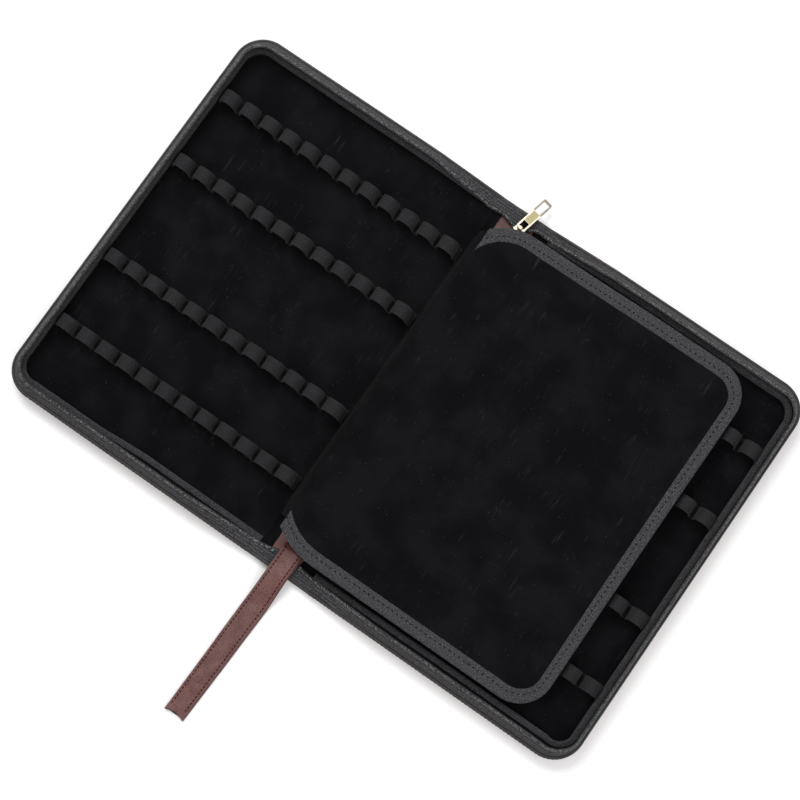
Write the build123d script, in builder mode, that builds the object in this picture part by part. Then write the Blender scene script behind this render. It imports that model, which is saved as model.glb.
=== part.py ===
from build123d import *
import os
from math import cos, hypot, pi, radians, sin, sqrt

# A zip-around pen case, lying open and flat with its inside up.
# Millimetres. X runs across both halves, Y along the spine, Z up.
# The origin is the middle of the spine's underside.

# Pens and their loops
pen_bore = 13.0
elastic = 1.0
loop_count = 12
tack_length = 3.25
band_width = 11.0
row_margin = 15.0
row_shift = 3.0
band_spacing = 61.0
spine_side_margin = 5.35
spine_side_tack = 2.8
outer_tack = 0.9
loop_facets = 12

# Cover and inner layers
case_length = 330.0
corner_radius = 24.0
leather = 1.2
wall_leather = 1.4
bottom_bevel = 1.8
board_inset = 3.0
board = 1.4
velvet = 0.7
rim_height = 12.8
rim_end_height = 5.2
dip_length = 57.0

# Padded wall
pad_side = 9.0
pad_top = 11.5
pad_bottom = 14.0
pad_drop = 1.0
pad_end_drop = 1.4
pad_binding_width = 2.5
pad_binding_thickness = 0.9
binding_start_share = 0.3

# Zip
tape_thickness = 0.8
tape_leg = 3.4
tape_drop = 0.6
tape_inset = 7.0
coil_radius = 1.25
coil_edge = 0.1
bead_facets = 4
coil_gap = 0.35
coil_end_clearance = 1.4
end_tape_height = 5.0
end_tape_inset = 13.0
end_tape_draw = 1.0
end_tape_leg = 1.0

# Spine and folds
spine_board = 0.6
spine_lining = 0.4
spine_fold_gap = 3.5
tray_fold_gap = 3.0
tape_fold_clearance = 0.5
spine_end_inset = 1.5
hem_length = 4.0
hem_clearance = 0.15

# Leaf and its hinge flap
leaf_gap = 1.3
leaf_board = 1.2
leaf_velvet = 0.4
binding_thickness = 0.4
binding_width = 11.0
binding_wall = 0.8
leaf_top_inset = 13.0
leaf_bottom_inset = 19.5
leaf_corner = 22.0
hinge_corner = 60.0
hinge_corner_drop = 15.5
leaf_hinge_inset = 0.6
leaf_clearance = 0.5
leaf_spine_clearance = 0.3
flap_thickness = 1.4
flap_foot = 0.8
flap_lean = 31.0
flap_end_gap = 0.4
flap_end_inset = 2.0

# Slider, bridge and pull
slider_inset = 18.5
slider_yaw = -13.0
slider_length = 11.5
slider_width = 9.4
slider_tail = 7.0
slider_shoulder = 1.6
slider_round = 0.8
slider_plate = 1.1
plate_clearance = 0.25
neck_width = 2.4
neck_length = 2.0
neck_clearance = 0.7
bridge_width = 2.2
bridge_thickness = 1.2
bridge_length = 6.8
bridge_height = 4.4
bridge_start = 2.7
pull_length = 30.0
pull_width = 8.0
pull_thickness = 1.4
pull_bar = 1.6
pull_lift = 1.0
pull_play = 0.6
pull_slot_length = 5.6
pull_slot_width = 5.2
window_length = 10.0
window_rail = 1.3
window_end = 2.1
stop_height = 1.1
stop_length = 2.6
stop_width = 6.0
top_stop_width = 1.8
top_stop_clearance = 0.8
top_stop_rise = 0.3

# Strap
strap_offset = 1.0
strap_width = 19.0
strap_end_width = 16.6
strap_reach = 127.5
strap_ply = 1.2
strap_root_start = 30.5
strap_rise_start = 24.0
strap_rise_end = 18.0
strap_drape = 30.0
strap_bend_gap = 0.4
strap_clearance = 0.1
strap_notch = 2.5

# Worked out from the sizes above
floor_top = leather + board + velvet
loop_width = pen_bore + 2 * elastic
loop_pitch = loop_width + tack_length
loop_top = floor_top + pen_bore + elastic
leaf_thickness = leaf_board + 2 * (leaf_velvet + binding_thickness)
leaf_bottom = loop_top + leaf_gap
fold = leaf_bottom + leaf_thickness / 2
half_start = fold + tray_fold_gap
loops_length = (loop_count - 1) * loop_pitch + loop_width
case_edge = half_start + spine_side_margin + loops_length + outer_tack + pad_side
half_length = case_length / 2
row_pitch = half_length - row_margin
ramp_end = half_start + dip_length
spine_edge = fold - spine_fold_gap
spine_top = leather + spine_board + spine_lining
spine_end = half_length - spine_end_inset
end_tape_low = end_tape_height - tape_thickness / 2
end_tape_top = end_tape_height + tape_thickness / 2
tape_start = fold + end_tape_top + coil_radius + tape_fold_clearance
slider_top = end_tape_top + plate_clearance + slider_plate
leaf_pivot = fold - leaf_hinge_inset
leaf_left = fold + spine_top + leaf_spine_clearance - 2 * leaf_pivot
leaf_right = case_edge - tape_inset - leaf_clearance - 2 * leaf_pivot
leaf_top_edge = half_length - leaf_top_inset
leaf_bottom_edge = -half_length + leaf_bottom_inset

os.makedirs("parts", exist_ok=True)


def save(part, name):
    """Label one finished piece and write it to its own file."""
    part.label = name
    export_step(part, f"parts/{name}.step")


def half_plan(side, top, bottom, start):
    """Plan of one half, set in from the outline and open towards the spine."""
    width = case_edge - side - start
    with BuildSketch() as plan:
        with Locations((start + width / 2, (bottom - top) / 2)):
            Rectangle(width, case_length - top - bottom)
        fillet(plan.vertices().group_by(Axis.X)[-1], corner_radius - side)
    return plan.sketch


def ramp_envelope(low, high):
    """Everything below a height that falls towards the spine."""
    with BuildPart() as envelope:
        with BuildSketch(Plane.XZ):
            Polygon(
                (half_start, 0),
                (case_edge, 0),
                (case_edge, high),
                (ramp_end, high),
                (half_start, low),
                align=None,
            )
        extrude(amount=half_length, both=True)
    return envelope.part


def beyond_spine_side(edge):
    """True for an edge that isn't on a half's open side."""
    return edge.center().X > half_start + wall_leather


def cover():
    """Leather tub: a floor and three walls, with a bevelled bottom edge."""
    outside = half_plan(0, 0, 0, half_start)
    inside = half_plan(wall_leather, wall_leather, wall_leather, half_start - wall_leather)
    envelope = ramp_envelope(rim_end_height, rim_height)
    with BuildPart() as piece:
        with BuildSketch():
            add(outside)
        extrude(amount=rim_height)
        chamfer(piece.edges().group_by(Axis.Z)[0].filter_by(beyond_spine_side), bottom_bevel)
        with BuildSketch(Plane.XY.offset(leather)):
            add(inside)
        extrude(amount=rim_height, mode=Mode.SUBTRACT)
        add(envelope, mode=Mode.INTERSECT)
    return piece.part


def floor_sheet(height, thickness):
    """Flat sheet that fills the floor, clear of the cover's walls."""
    plan = half_plan(board_inset, board_inset, board_inset, half_start)
    with BuildPart() as piece:
        with BuildSketch(Plane.XY.offset(height)):
            add(plan)
        extrude(amount=thickness)
    return piece.part


def wall_pad():
    """Padded wall that runs round three sides on the lining."""
    inset = wall_leather + tape_thickness
    outside = half_plan(inset, inset, inset, tape_start)
    inside = half_plan(pad_side, pad_top, pad_bottom, tape_start)
    envelope = ramp_envelope(rim_end_height - pad_end_drop, rim_height - pad_drop)
    with BuildPart() as piece:
        with BuildSketch(Plane.XY.offset(floor_top)):
            add(outside)
            add(inside, mode=Mode.SUBTRACT)
        extrude(amount=rim_height)
        add(envelope, mode=Mode.INTERSECT)
    return piece.part


def pad_binding():
    """Binding on the padded wall's inner top edge, clear of the zip's ramp."""
    low = rim_end_height - pad_end_drop
    high = rim_height - pad_drop
    begin = half_start + binding_start_share * dip_length
    begin_height = between(low, high, binding_start_share)
    edge = pad_binding_width
    outside = half_plan(pad_side - edge, pad_top - edge, pad_bottom - edge, half_start)
    inside = half_plan(pad_side, pad_top, pad_bottom, half_start)
    with BuildPart() as piece:
        with BuildSketch(Plane.XY.offset(floor_top)):
            add(outside)
            add(inside, mode=Mode.SUBTRACT)
        extrude(amount=rim_height)
        with BuildSketch(Plane.XZ):
            Polygon(
                (begin, begin_height),
                (ramp_end, high),
                (case_edge, high),
                (case_edge, high + pad_binding_thickness),
                (ramp_end, high + pad_binding_thickness),
                (begin, begin_height + pad_binding_thickness),
                align=None,
            )
        extrude(amount=half_length, both=True, mode=Mode.INTERSECT)
    return piece.part


def rim_plane(x):
    """Plane across the top side's rim: first axis inwards, second axis up."""
    return Plane(origin=(x, half_length, 0), x_dir=(0, -1, 0), z_dir=(-1, 0, 0))


def rim_route():
    """Line along the top side and half of the outer side, at the outline."""
    with BuildLine() as route:
        FilletPolyline(
            (ramp_end, half_length),
            (case_edge, half_length),
            (case_edge, 0),
            radius=corner_radius,
        )
    return route.line


def between(low, high, share):
    """Value at a share of the way from one size to another."""
    return low + (high - low) * share


def tape_line(share):
    """Bend and free edge of the tape's section: share is 0 by the spine, 1 at full height."""
    top = fold - coil_gap - tape_thickness / 2
    bend_height = between(end_tape_height, rim_height - tape_drop, share)
    edge_inset = between(end_tape_inset, tape_inset, share)
    edge_height = between(end_tape_height, top, share)
    return (wall_leather + tape_thickness / 2, bend_height), (edge_inset, edge_height)


def tape_slope(bend, edge):
    """Unit direction from the tape's bend to its free edge."""
    run = edge[0] - bend[0]
    rise = edge[1] - bend[1]
    return run / hypot(run, rise), rise / hypot(run, rise)


def tape_section(share):
    """Section of the tape: it stands on the wall's inner face, then leans in."""
    bend, edge = tape_line(share)
    leg = between(end_tape_leg, tape_leg, share)
    along, up = tape_slope(bend, edge)
    half = tape_thickness / 2
    tuck = half * 0.75
    inner = wall_leather + tape_thickness
    seat = 2 * (coil_radius + coil_edge)
    with BuildSketch() as section:
        Polygon(
            (wall_leather, bend[1] - leg),
            (inner, bend[1] - leg),
            (inner, bend[1] - tuck),
            (edge[0] + half * up, edge[1] - half * along),
            (edge[0] - half * up, edge[1] + half * along),
            (edge[0] - half * up - seat * along, edge[1] + half * along - seat * up),
            (wall_leather, bend[1] + tuck),
            align=None,
        )
    return section.sketch


def half_round(radius):
    """Corners of a half-round bead's section, from its right foot to its left."""
    angles = [pi * step / bead_facets for step in range(bead_facets + 1)]
    return [(radius * cos(angle), radius * sin(angle)) for angle in angles]


def coil_section(share):
    """Section of the coil: half round, on the tape's outer face by its free edge."""
    bend, edge = tape_line(share)
    along, up = tape_slope(bend, edge)
    half = tape_thickness / 2
    back = coil_radius + coil_edge
    x = edge[0] - along * back - up * half
    y = edge[1] - up * back + along * half
    corners = [
        (x + along * run - up * rise, y + up * run + along * rise)
        for run, rise in half_round(coil_radius)
    ]
    with BuildSketch() as section:
        Polygon(*corners, align=None)
    return section.sketch


def rim_run(full, middle, low):
    """Sweep a section round the rim and ramp it down to the spine at both ends."""
    route = rim_route()
    with BuildPart() as piece:
        with BuildSketch(rim_plane(ramp_end)):
            add(full)
        sweep(path=route)
        with BuildSketch(rim_plane(ramp_end)):
            add(full)
        with BuildSketch(rim_plane((ramp_end + tape_start) / 2)):
            add(middle)
        with BuildSketch(rim_plane(tape_start)):
            add(low)
        loft(ruled=True)
        mirror(about=Plane.XZ)
    return piece.part


def zip_tape():
    """Zip tape: one section swept round the rim, with ramps down to the spine."""
    return rim_run(tape_section(1), tape_section(0.5), tape_section(0))


def zip_coil():
    """Zip coil: a half-round bead that follows the tape's free edge."""
    return rim_run(coil_section(1), coil_section(0.5), coil_section(0))


def elastic_band(y):
    """One elastic band, sewn down between its pen loops."""
    first = case_edge - pad_side - outer_tack - loop_width / 2
    centres = [first - index * loop_pitch for index in range(loop_count)]
    left = centres[-1] - loop_width / 2 - spine_side_tack
    right = first + loop_width / 2 + outer_tack
    half_bore = pen_bore / 2
    half_facet = 180 / loop_facets
    crowns = [(x, floor_top + half_bore) for x in centres]
    legs = [(x, floor_top + half_bore / 2) for x in centres]
    with BuildPart() as piece:
        with BuildSketch(Plane.XZ.offset(-y - band_width / 2)):
            with Locations(((left + right) / 2, floor_top + elastic / 2)):
                Rectangle(right - left, elastic)
            with Locations(legs):
                Rectangle(loop_width, half_bore)
            with Locations(crowns):
                RegularPolygon(loop_width / 2, loop_facets, False, half_facet)
            with Locations(legs):
                Rectangle(pen_bore, half_bore, mode=Mode.SUBTRACT)
            with Locations(crowns):
                RegularPolygon(half_bore, loop_facets, False, half_facet, mode=Mode.SUBTRACT)
        extrude(amount=band_width)
        split(bisect_by=Plane.XY.offset(floor_top), keep=Keep.TOP)
    return piece.part


def spine_leather():
    """Strip of cover leather between the folds, with a padded hem at each end."""
    with BuildPart() as piece:
        with BuildSketch():
            Rectangle(2 * spine_edge, 2 * spine_end)
        extrude(amount=leather)
        hem_middle = spine_end - hem_length / 2
        with BuildSketch(Plane.XY.offset(leather)):
            with Locations((0, hem_middle), (0, -hem_middle)):
                Rectangle(2 * spine_edge, hem_length)
        extrude(amount=end_tape_low - leather)
    return piece.part


def spine_sheet(height, thickness, side_inset):
    """Flat sheet on the spine, between the two hems."""
    length = 2 * (spine_end - hem_length - hem_clearance)
    with BuildPart() as piece:
        with BuildSketch(Plane.XY.offset(height)):
            Rectangle(2 * (spine_edge - side_inset), length)
        extrude(amount=thickness)
    return piece.part


def fold_leather():
    """Strip of cover leather that bends at the right fold."""
    with BuildPart() as piece:
        with BuildSketch():
            with Locations(((spine_edge + half_start) / 2, 0)):
                Rectangle(half_start - spine_edge, 2 * spine_end)
        extrude(amount=leather)
    return piece.part


def end_tape_corners():
    """Where the tape's free edge leaves the fold, and where it meets the slider."""
    outer = (spine_edge, half_length - end_tape_inset + end_tape_draw)
    inner_y = half_length - slider_inset + neck_length + neck_clearance
    inner = (slider_width / 2 - neck_clearance, inner_y)
    return outer, inner


def end_tape():
    """Zip tape across the top end of the spine, drawn in to the slider."""
    outer, inner = end_tape_corners()
    with BuildPart() as piece:
        with BuildSketch(Plane.XY.offset(end_tape_low)):
            Polygon(
                (-outer[0], spine_end),
                (-outer[0], outer[1]),
                (-inner[0], inner[1]),
                inner,
                outer,
                (outer[0], spine_end),
                align=None,
            )
        extrude(amount=tape_thickness)
    return piece.part


def coil_height_above_edge():
    """Distance along Y from the end tape's free edge to its coil's middle."""
    outer, inner = end_tape_corners()
    run = outer[0] - inner[0]
    rise = outer[1] - inner[1]
    return (coil_radius + coil_edge) * hypot(run, rise) / run


def end_coils(clear):
    """Two lengths of coil on the spine's end tape, clear of its middle."""
    outer, inner = end_tape_corners()
    run = outer[0] - inner[0]
    rise = outer[1] - inner[1]
    offset = coil_height_above_edge()
    begin = Vector(outer[0], outer[1] + offset, end_tape_top)
    finish = Vector(clear, outer[1] + offset - rise * (outer[0] - clear) / run, end_tape_top)
    across = Plane(origin=begin, x_dir=(rise, -run, 0), z_dir=finish - begin)
    with BuildPart() as piece:
        with BuildSketch(across):
            Polygon(*half_round(coil_radius), align=None)
        extrude(amount=(finish - begin).length)
        split(bisect_by=Plane.YZ.offset(spine_edge), keep=Keep.BOTTOM)
        mirror(about=Plane.YZ)
    return piece.part


def slider_plane(height):
    """Plane of the slider: origin at its wide end, second axis along the pull."""
    across = (cos(radians(slider_yaw)), sin(radians(slider_yaw)), 0)
    return Plane(origin=(0, half_length - slider_inset, height), x_dir=across, z_dir=(0, 0, 1))


def slider_side():
    """Plane on the slider's middle: first axis along the pull, second axis up."""
    base = slider_plane(0)
    return Plane(origin=base.origin, x_dir=base.y_dir, z_dir=base.x_dir)


def shield_plan(inset):
    """Plan of a slider plate: wide shoulders that narrow to the tail."""
    shoulder = slider_width / 2 - inset
    tail = slider_tail / 2 - inset
    with BuildSketch() as plan:
        Polygon(
            (-shoulder, slider_shoulder),
            (0, inset),
            (shoulder, slider_shoulder),
            (tail, slider_length - inset),
            (-tail, slider_length - inset),
            align=None,
        )
    return plan.sketch


def zip_slider():
    """Slider body: plates over and under the tape, joined by a neck."""
    lower = end_tape_low - plate_clearance - slider_plate
    upper = end_tape_top + plate_clearance
    lower_plan = shield_plan(slider_round / 2)
    upper_plan = shield_plan(0)
    with BuildPart() as piece:
        with BuildSketch(slider_plane(lower)):
            add(lower_plan)
        extrude(amount=slider_plate)
        with BuildSketch(slider_plane(upper)) as crown:
            add(upper_plan)
            fillet(crown.vertices(), slider_round)
        extrude(amount=slider_plate)
        chamfer(piece.faces().sort_by(Axis.Z)[-1].edges(), slider_plate * 0.3)
        with BuildSketch(slider_plane(lower + slider_plate)):
            with Locations((0, slider_round / 2 + neck_length / 2)):
                Rectangle(neck_width, neck_length)
        extrude(amount=upper - lower - slider_plate)
    return piece.part


def slider_bridge():
    """Arch on the slider that holds the pull."""
    middle = bridge_start + bridge_length / 2
    inner_height = bridge_height - bridge_thickness
    with BuildPart() as piece:
        with BuildSketch(slider_side()):
            with Locations((middle, slider_top + bridge_height / 2)):
                Rectangle(bridge_length, bridge_height)
        extrude(amount=bridge_width / 2, both=True)
        top = piece.faces().sort_by(Axis.Z)[-1]
        fillet(top.edges().sort_by(Edge.length)[:2], bridge_thickness * 1.3)
        with BuildSketch(slider_side()):
            with Locations((middle, slider_top + inner_height / 2)):
                Rectangle(bridge_length - 2 * bridge_thickness, inner_height)
        extrude(amount=bridge_width, both=True, mode=Mode.SUBTRACT)
    return piece.part


def pull_start():
    """Distance from the slider's wide end to the pull's inner end."""
    return bridge_start + bridge_thickness + pull_play


def pull_tab():
    """Flat pull with a slot round the bridge and a window at its end."""
    start = pull_start()
    with BuildPart() as piece:
        with BuildSketch(slider_plane(slider_top + pull_lift)):
            with Locations((0, start + pull_length / 2)):
                RectangleRounded(pull_width, pull_length, window_rail)
            with Locations((0, start + pull_bar + pull_slot_length / 2)):
                Rectangle(pull_slot_width, pull_slot_length, mode=Mode.SUBTRACT)
            with Locations((0, start + pull_length - window_end - window_length / 2)):
                Rectangle(pull_width - 2 * window_rail, window_length, mode=Mode.SUBTRACT)
        extrude(amount=pull_thickness)
    return piece.part


def end_stop():
    """Small stop on the tape behind the slider's tail."""
    with BuildPart() as piece:
        with BuildSketch(slider_plane(end_tape_top)):
            with Locations((0, slider_length + stop_length)):
                Rectangle(stop_width, stop_length)
        extrude(amount=stop_height)
    return piece.part


def stop_x():
    """Distance of the top stops from the middle, just outside the strap."""
    return strap_offset + (strap_width + top_stop_width) / 2 + top_stop_clearance


def top_stops():
    """Two stops that end the coils beside the strap."""
    outer, inner = end_tape_corners()
    share = (outer[0] - stop_x()) / (outer[0] - inner[0])
    y = outer[1] - share * (outer[1] - inner[1]) + coil_height_above_edge()
    with BuildPart() as piece:
        with BuildSketch(Plane.XY.offset(end_tape_top)):
            with Locations((stop_x(), -y), (-stop_x(), -y)):
                Rectangle(top_stop_width, 2 * coil_radius)
        extrude(amount=coil_radius + top_stop_rise)
    return piece.part


def strap_root():
    """Sewn-down end of the strap: it lies on the lining and climbs over the tape."""
    low = spine_top
    high = end_tape_top + strap_clearance
    thick = 2 * strap_ply
    begin = -half_length + strap_root_start
    foot = -half_length + strap_rise_start
    crest = -half_length + strap_rise_end
    end = -spine_end
    with BuildPart() as piece:
        with BuildSketch(Plane.YZ.offset(strap_offset - strap_width / 2)):
            Polygon(
                (begin, low),
                (foot, low),
                (crest, high),
                (end, high),
                (end, high + thick),
                (crest, high + thick),
                (foot, low + thick),
                (begin, low + thick),
                align=None,
            )
        extrude(amount=strap_width)
    return piece.part


def strap_start():
    """Place of the strap's bend, beyond the rim."""
    return -half_length - strap_bend_gap


def strap_profile(begin, height, foot_height):
    """Side view of one ply: an easy drop to the table, then a flat run."""
    end = -half_length - strap_reach
    middle = (begin - strap_drape / 2, (height + foot_height) / 2)
    foot = (begin - strap_drape, foot_height)
    up = strap_ply
    with BuildSketch() as profile:
        with BuildLine():
            drop = TangentArc((begin, height), middle, tangent=(-1, 0))
            TangentArc(middle, foot, tangent=drop % 1)
            Polyline(foot, (end, foot_height), (end, foot_height + up), (foot[0], foot_height + up))
            over = TangentArc((begin, height + up), (middle[0], middle[1] + up), tangent=(-1, 0))
            TangentArc((middle[0], middle[1] + up), (foot[0], foot_height + up), tangent=over % 1)
            Line((begin, height + up), (begin, height))
        make_face()
    return profile.sketch


def strap_layer(index):
    """One ply of the free strap, narrower towards its hollowed end; 0 is the lower."""
    begin = strap_start()
    end = -half_length - strap_reach
    wide = strap_width / 2
    narrow = strap_end_width / 2
    lift = index * strap_ply
    profile = strap_profile(begin, end_tape_top + strap_clearance + lift, lift)
    with BuildPart() as piece:
        with BuildSketch(Plane.YZ):
            add(profile)
        extrude(amount=strap_width, both=True)
        with BuildSketch():
            with BuildLine():
                Polyline(
                    (strap_offset - narrow, end),
                    (strap_offset - wide, begin),
                    (strap_offset + wide, begin),
                    (strap_offset + narrow, end),
                )
                ThreePointArc(
                    (strap_offset + narrow, end),
                    (strap_offset, end + strap_notch),
                    (strap_offset - narrow, end),
                )
            make_face()
        extrude(amount=leaf_bottom, mode=Mode.INTERSECT)
    return piece.part


def leaf_plan(inset):
    """Plan of the leaf, set in from its edge but never from its hinge side."""
    top = leaf_top_edge - inset
    bottom = leaf_bottom_edge + inset
    right = leaf_right - inset
    corner = leaf_corner - inset
    sweep_radius = hinge_corner - inset
    reach = sqrt(2 * hinge_corner * hinge_corner_drop - hinge_corner_drop**2)
    side = hinge_corner - sqrt(sweep_radius**2 - reach**2)
    start = leaf_left + reach
    with BuildSketch() as plan:
        with BuildLine():
            Line((leaf_left, leaf_bottom_edge + side), (leaf_left, leaf_top_edge - side))
            RadiusArc((leaf_left, leaf_top_edge - side), (start, top), sweep_radius)
            Line((start, top), (right - corner, top))
            RadiusArc((right - corner, top), (right, top - corner), corner)
            Line((right, top - corner), (right, bottom + corner))
            RadiusArc((right, bottom + corner), (right - corner, bottom), corner)
            Line((right - corner, bottom), (start, bottom))
            RadiusArc((start, bottom), (leaf_left, leaf_bottom_edge + side), sweep_radius)
        make_face()
    return plan.sketch


def leaf_sheet(height, thickness):
    """Flat sheet of the leaf, inside its binding's outer wall."""
    plan = leaf_plan(binding_wall)
    with BuildPart() as piece:
        with BuildSketch(Plane.XY.offset(height)):
            add(plan)
        extrude(amount=thickness)
    return piece.part


def leaf_binding():
    """Binding folded over the leaf's edge, open along the hinge side."""
    outside = leaf_plan(0)
    slot = leaf_plan(binding_wall)
    inside = leaf_plan(binding_width)
    with BuildPart() as piece:
        with BuildSketch(Plane.XY.offset(leaf_bottom)):
            add(outside)
        extrude(amount=leaf_thickness)
        with BuildSketch(Plane.XY.offset(leaf_bottom + binding_thickness)):
            add(slot)
        extrude(amount=leaf_thickness - 2 * binding_thickness, mode=Mode.SUBTRACT)
        with BuildSketch(Plane.XY.offset(leaf_bottom)):
            add(inside)
        extrude(amount=leaf_thickness, mode=Mode.SUBTRACT)
    return piece.part


def hinge_flap():
    """Flap that leans from the left lining's edge to the leaf's hinge side."""
    lean = radians(90 - flap_lean)
    foot = Plane(
        origin=(-half_start - flap_foot, 0, floor_top + flap_foot),
        x_dir=(cos(lean), 0, sin(lean)),
        z_dir=(-sin(lean), 0, cos(lean)),
    )
    length = leaf_bottom - flap_end_gap - floor_top - flap_foot
    top = leaf_top_edge - hinge_corner_drop - flap_end_inset
    bottom = leaf_bottom_edge + hinge_corner_drop + flap_end_inset
    with BuildPart() as piece:
        with BuildSketch(foot):
            with Locations((length / 2, (top + bottom) / 2)):
                Rectangle(length, top - bottom)
        extrude(amount=flap_thickness / 2, both=True)
    return piece.part


def save_halves(part, name):
    """Write the right half's piece and its mirror image for the left half."""
    left = mirror(part, about=Plane.YZ)
    save(part, f"right_{name}")
    save(left, f"left_{name}")


save_halves(cover(), "cover")
save_halves(floor_sheet(leather, board), "board")
save_halves(floor_sheet(leather + board, velvet), "lining")
save_halves(wall_pad(), "wall_pad")
save_halves(pad_binding(), "pad_binding")
save_halves(zip_tape(), "zip_tape")
save_halves(zip_coil(), "zip_coil")
for row, centre in (("upper", row_shift + row_pitch / 2), ("lower", row_shift - row_pitch / 2)):
    save_halves(elastic_band(centre + band_spacing / 2), f"{row}_row_top_band")
    save_halves(elastic_band(centre - band_spacing / 2), f"{row}_row_bottom_band")
save_halves(fold_leather(), "fold_leather")

save(spine_leather(), "spine_leather")
save(spine_sheet(leather, spine_board, tack_length), "spine_board")
save(spine_sheet(leather + spine_board, spine_lining, 0), "spine_lining")
save(end_tape(), "spine_top_tape")
save(mirror(end_tape(), about=Plane.XZ), "spine_bottom_tape")
save(end_coils(slider_width / 2 + coil_end_clearance), "spine_top_coils")
save(mirror(end_coils(stop_x() + coil_end_clearance), about=Plane.XZ), "spine_bottom_coils")
save(zip_slider(), "zip_slider")
save(slider_bridge(), "slider_bridge")
save(end_stop(), "zip_end_stop")
save(top_stops(), "zip_top_stops")
save(pull_tab(), "pull_tab")

save(strap_root(), "strap_root")
save(strap_layer(0), "strap_lower_ply")
save(strap_layer(1), "strap_upper_ply")

save(hinge_flap(), "leaf_hinge_flap")
core = leaf_bottom + binding_thickness
save(leaf_sheet(core, leaf_velvet), "leaf_lower_velvet")
save(leaf_sheet(core + leaf_velvet, leaf_board), "leaf_board")
save(leaf_sheet(core + leaf_velvet + leaf_board, leaf_velvet), "leaf_upper_velvet")
save(leaf_binding(), "leaf_binding")
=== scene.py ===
import logging
import math
import random
from dataclasses import dataclass
from enum import Enum
from functools import lru_cache
from typing import Callable, Iterable, Sequence

import bmesh
import bpy
from mathutils import Matrix, Vector, noise


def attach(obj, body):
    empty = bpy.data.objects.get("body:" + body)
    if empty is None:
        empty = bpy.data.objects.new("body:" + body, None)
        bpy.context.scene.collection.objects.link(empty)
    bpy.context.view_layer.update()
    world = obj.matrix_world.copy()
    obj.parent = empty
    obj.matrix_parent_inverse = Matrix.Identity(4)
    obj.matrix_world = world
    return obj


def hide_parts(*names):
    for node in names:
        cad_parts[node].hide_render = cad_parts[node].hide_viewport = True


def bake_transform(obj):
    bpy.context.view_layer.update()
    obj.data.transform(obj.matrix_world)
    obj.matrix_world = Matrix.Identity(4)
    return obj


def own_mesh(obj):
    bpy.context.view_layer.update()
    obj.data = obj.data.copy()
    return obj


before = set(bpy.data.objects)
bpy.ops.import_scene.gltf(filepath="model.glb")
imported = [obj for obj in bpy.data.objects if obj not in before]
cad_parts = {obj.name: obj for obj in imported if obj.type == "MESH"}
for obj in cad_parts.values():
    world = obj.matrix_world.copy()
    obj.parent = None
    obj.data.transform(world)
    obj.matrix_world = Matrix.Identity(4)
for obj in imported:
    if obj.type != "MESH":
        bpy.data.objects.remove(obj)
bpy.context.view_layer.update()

log = logging.getLogger("pen_case")

MM = 0.001
LAY = "lay"
RIGHT_ANGLE = math.pi / 2
UP = Vector((0, 0, 1))

Point = tuple[float, float, float]
Colour = tuple[float, float, float, float]
Spot = tuple[float, float]
Ring = list[tuple[float, float, float]]  # inset, height and distance across of each point of a closed section
Piece = bpy.types.Object
Socket = bpy.types.NodeSocket
Tree = bpy.types.NodeTree


def lerp(low: float, high: float, share: float) -> float:
    """Value at a share of the way from low to high."""
    return low + (high - low) * share


def clamp(value: float, low: float = 0.0, high: float = 1.0) -> float:
    """Value kept between low and high."""
    return max(low, min(high, value))


def ease(value: float, low: float, high: float) -> float:
    """Smooth step from 0 at low to 1 at high."""
    share = clamp((value - low) / (high - low))
    return share * share * (3 - 2 * share)


def spaced(low: float, high: float, step: float) -> list[float]:
    """Even values from low to high, both included, at most one step apart."""
    count = max(1, math.ceil(abs(high - low) / step))
    return [lerp(low, high, index / count) for index in range(count + 1)]


def arc(centre: Spot, radii: Spot, first: float, last: float, count: int = 14) -> list[Spot]:
    """Points round an arc.

    Args:
        centre: its centre.
        radii: its radius along X and along Y.
        first: angle of its first point, in radians.
        last: angle of its last point.
        count: number of steps between them.

    Returns:
        The points, with both ends.
    """
    turns = [lerp(first, last, step / count) for step in range(count + 1)]
    return [(centre[0] + radii[0] * math.cos(turn), centre[1] + radii[1] * math.sin(turn)) for turn in turns]


def between(first: Spot, last: Spot, count: int) -> list[Spot]:
    """Points on the line between two places, without the places themselves."""
    shares = [step / count for step in range(1, count)]
    return [(lerp(first[0], last[0], share), lerp(first[1], last[1], share)) for share in shares]


def wobble(x: float, y: float, size: float, depth: float, seed: float = 0.0) -> float:
    """Gentle unevenness at a place.

    Args:
        x: first coordinate in millimetres.
        y: second coordinate in millimetres.
        size: distance over which it changes, in millimetres.
        depth: greatest departure either way, in millimetres.
        seed: picks another pattern.

    Returns:
        A height in millimetres.
    """
    return depth * noise.noise(Vector((x / size, y / size, seed)))


def srgb(red: int, green: int, blue: int) -> Colour:
    """Linear colour of an 8-bit display colour."""
    return (*[(part / 255) ** 2.2 for part in (red, green, blue)], 1.0)


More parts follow.
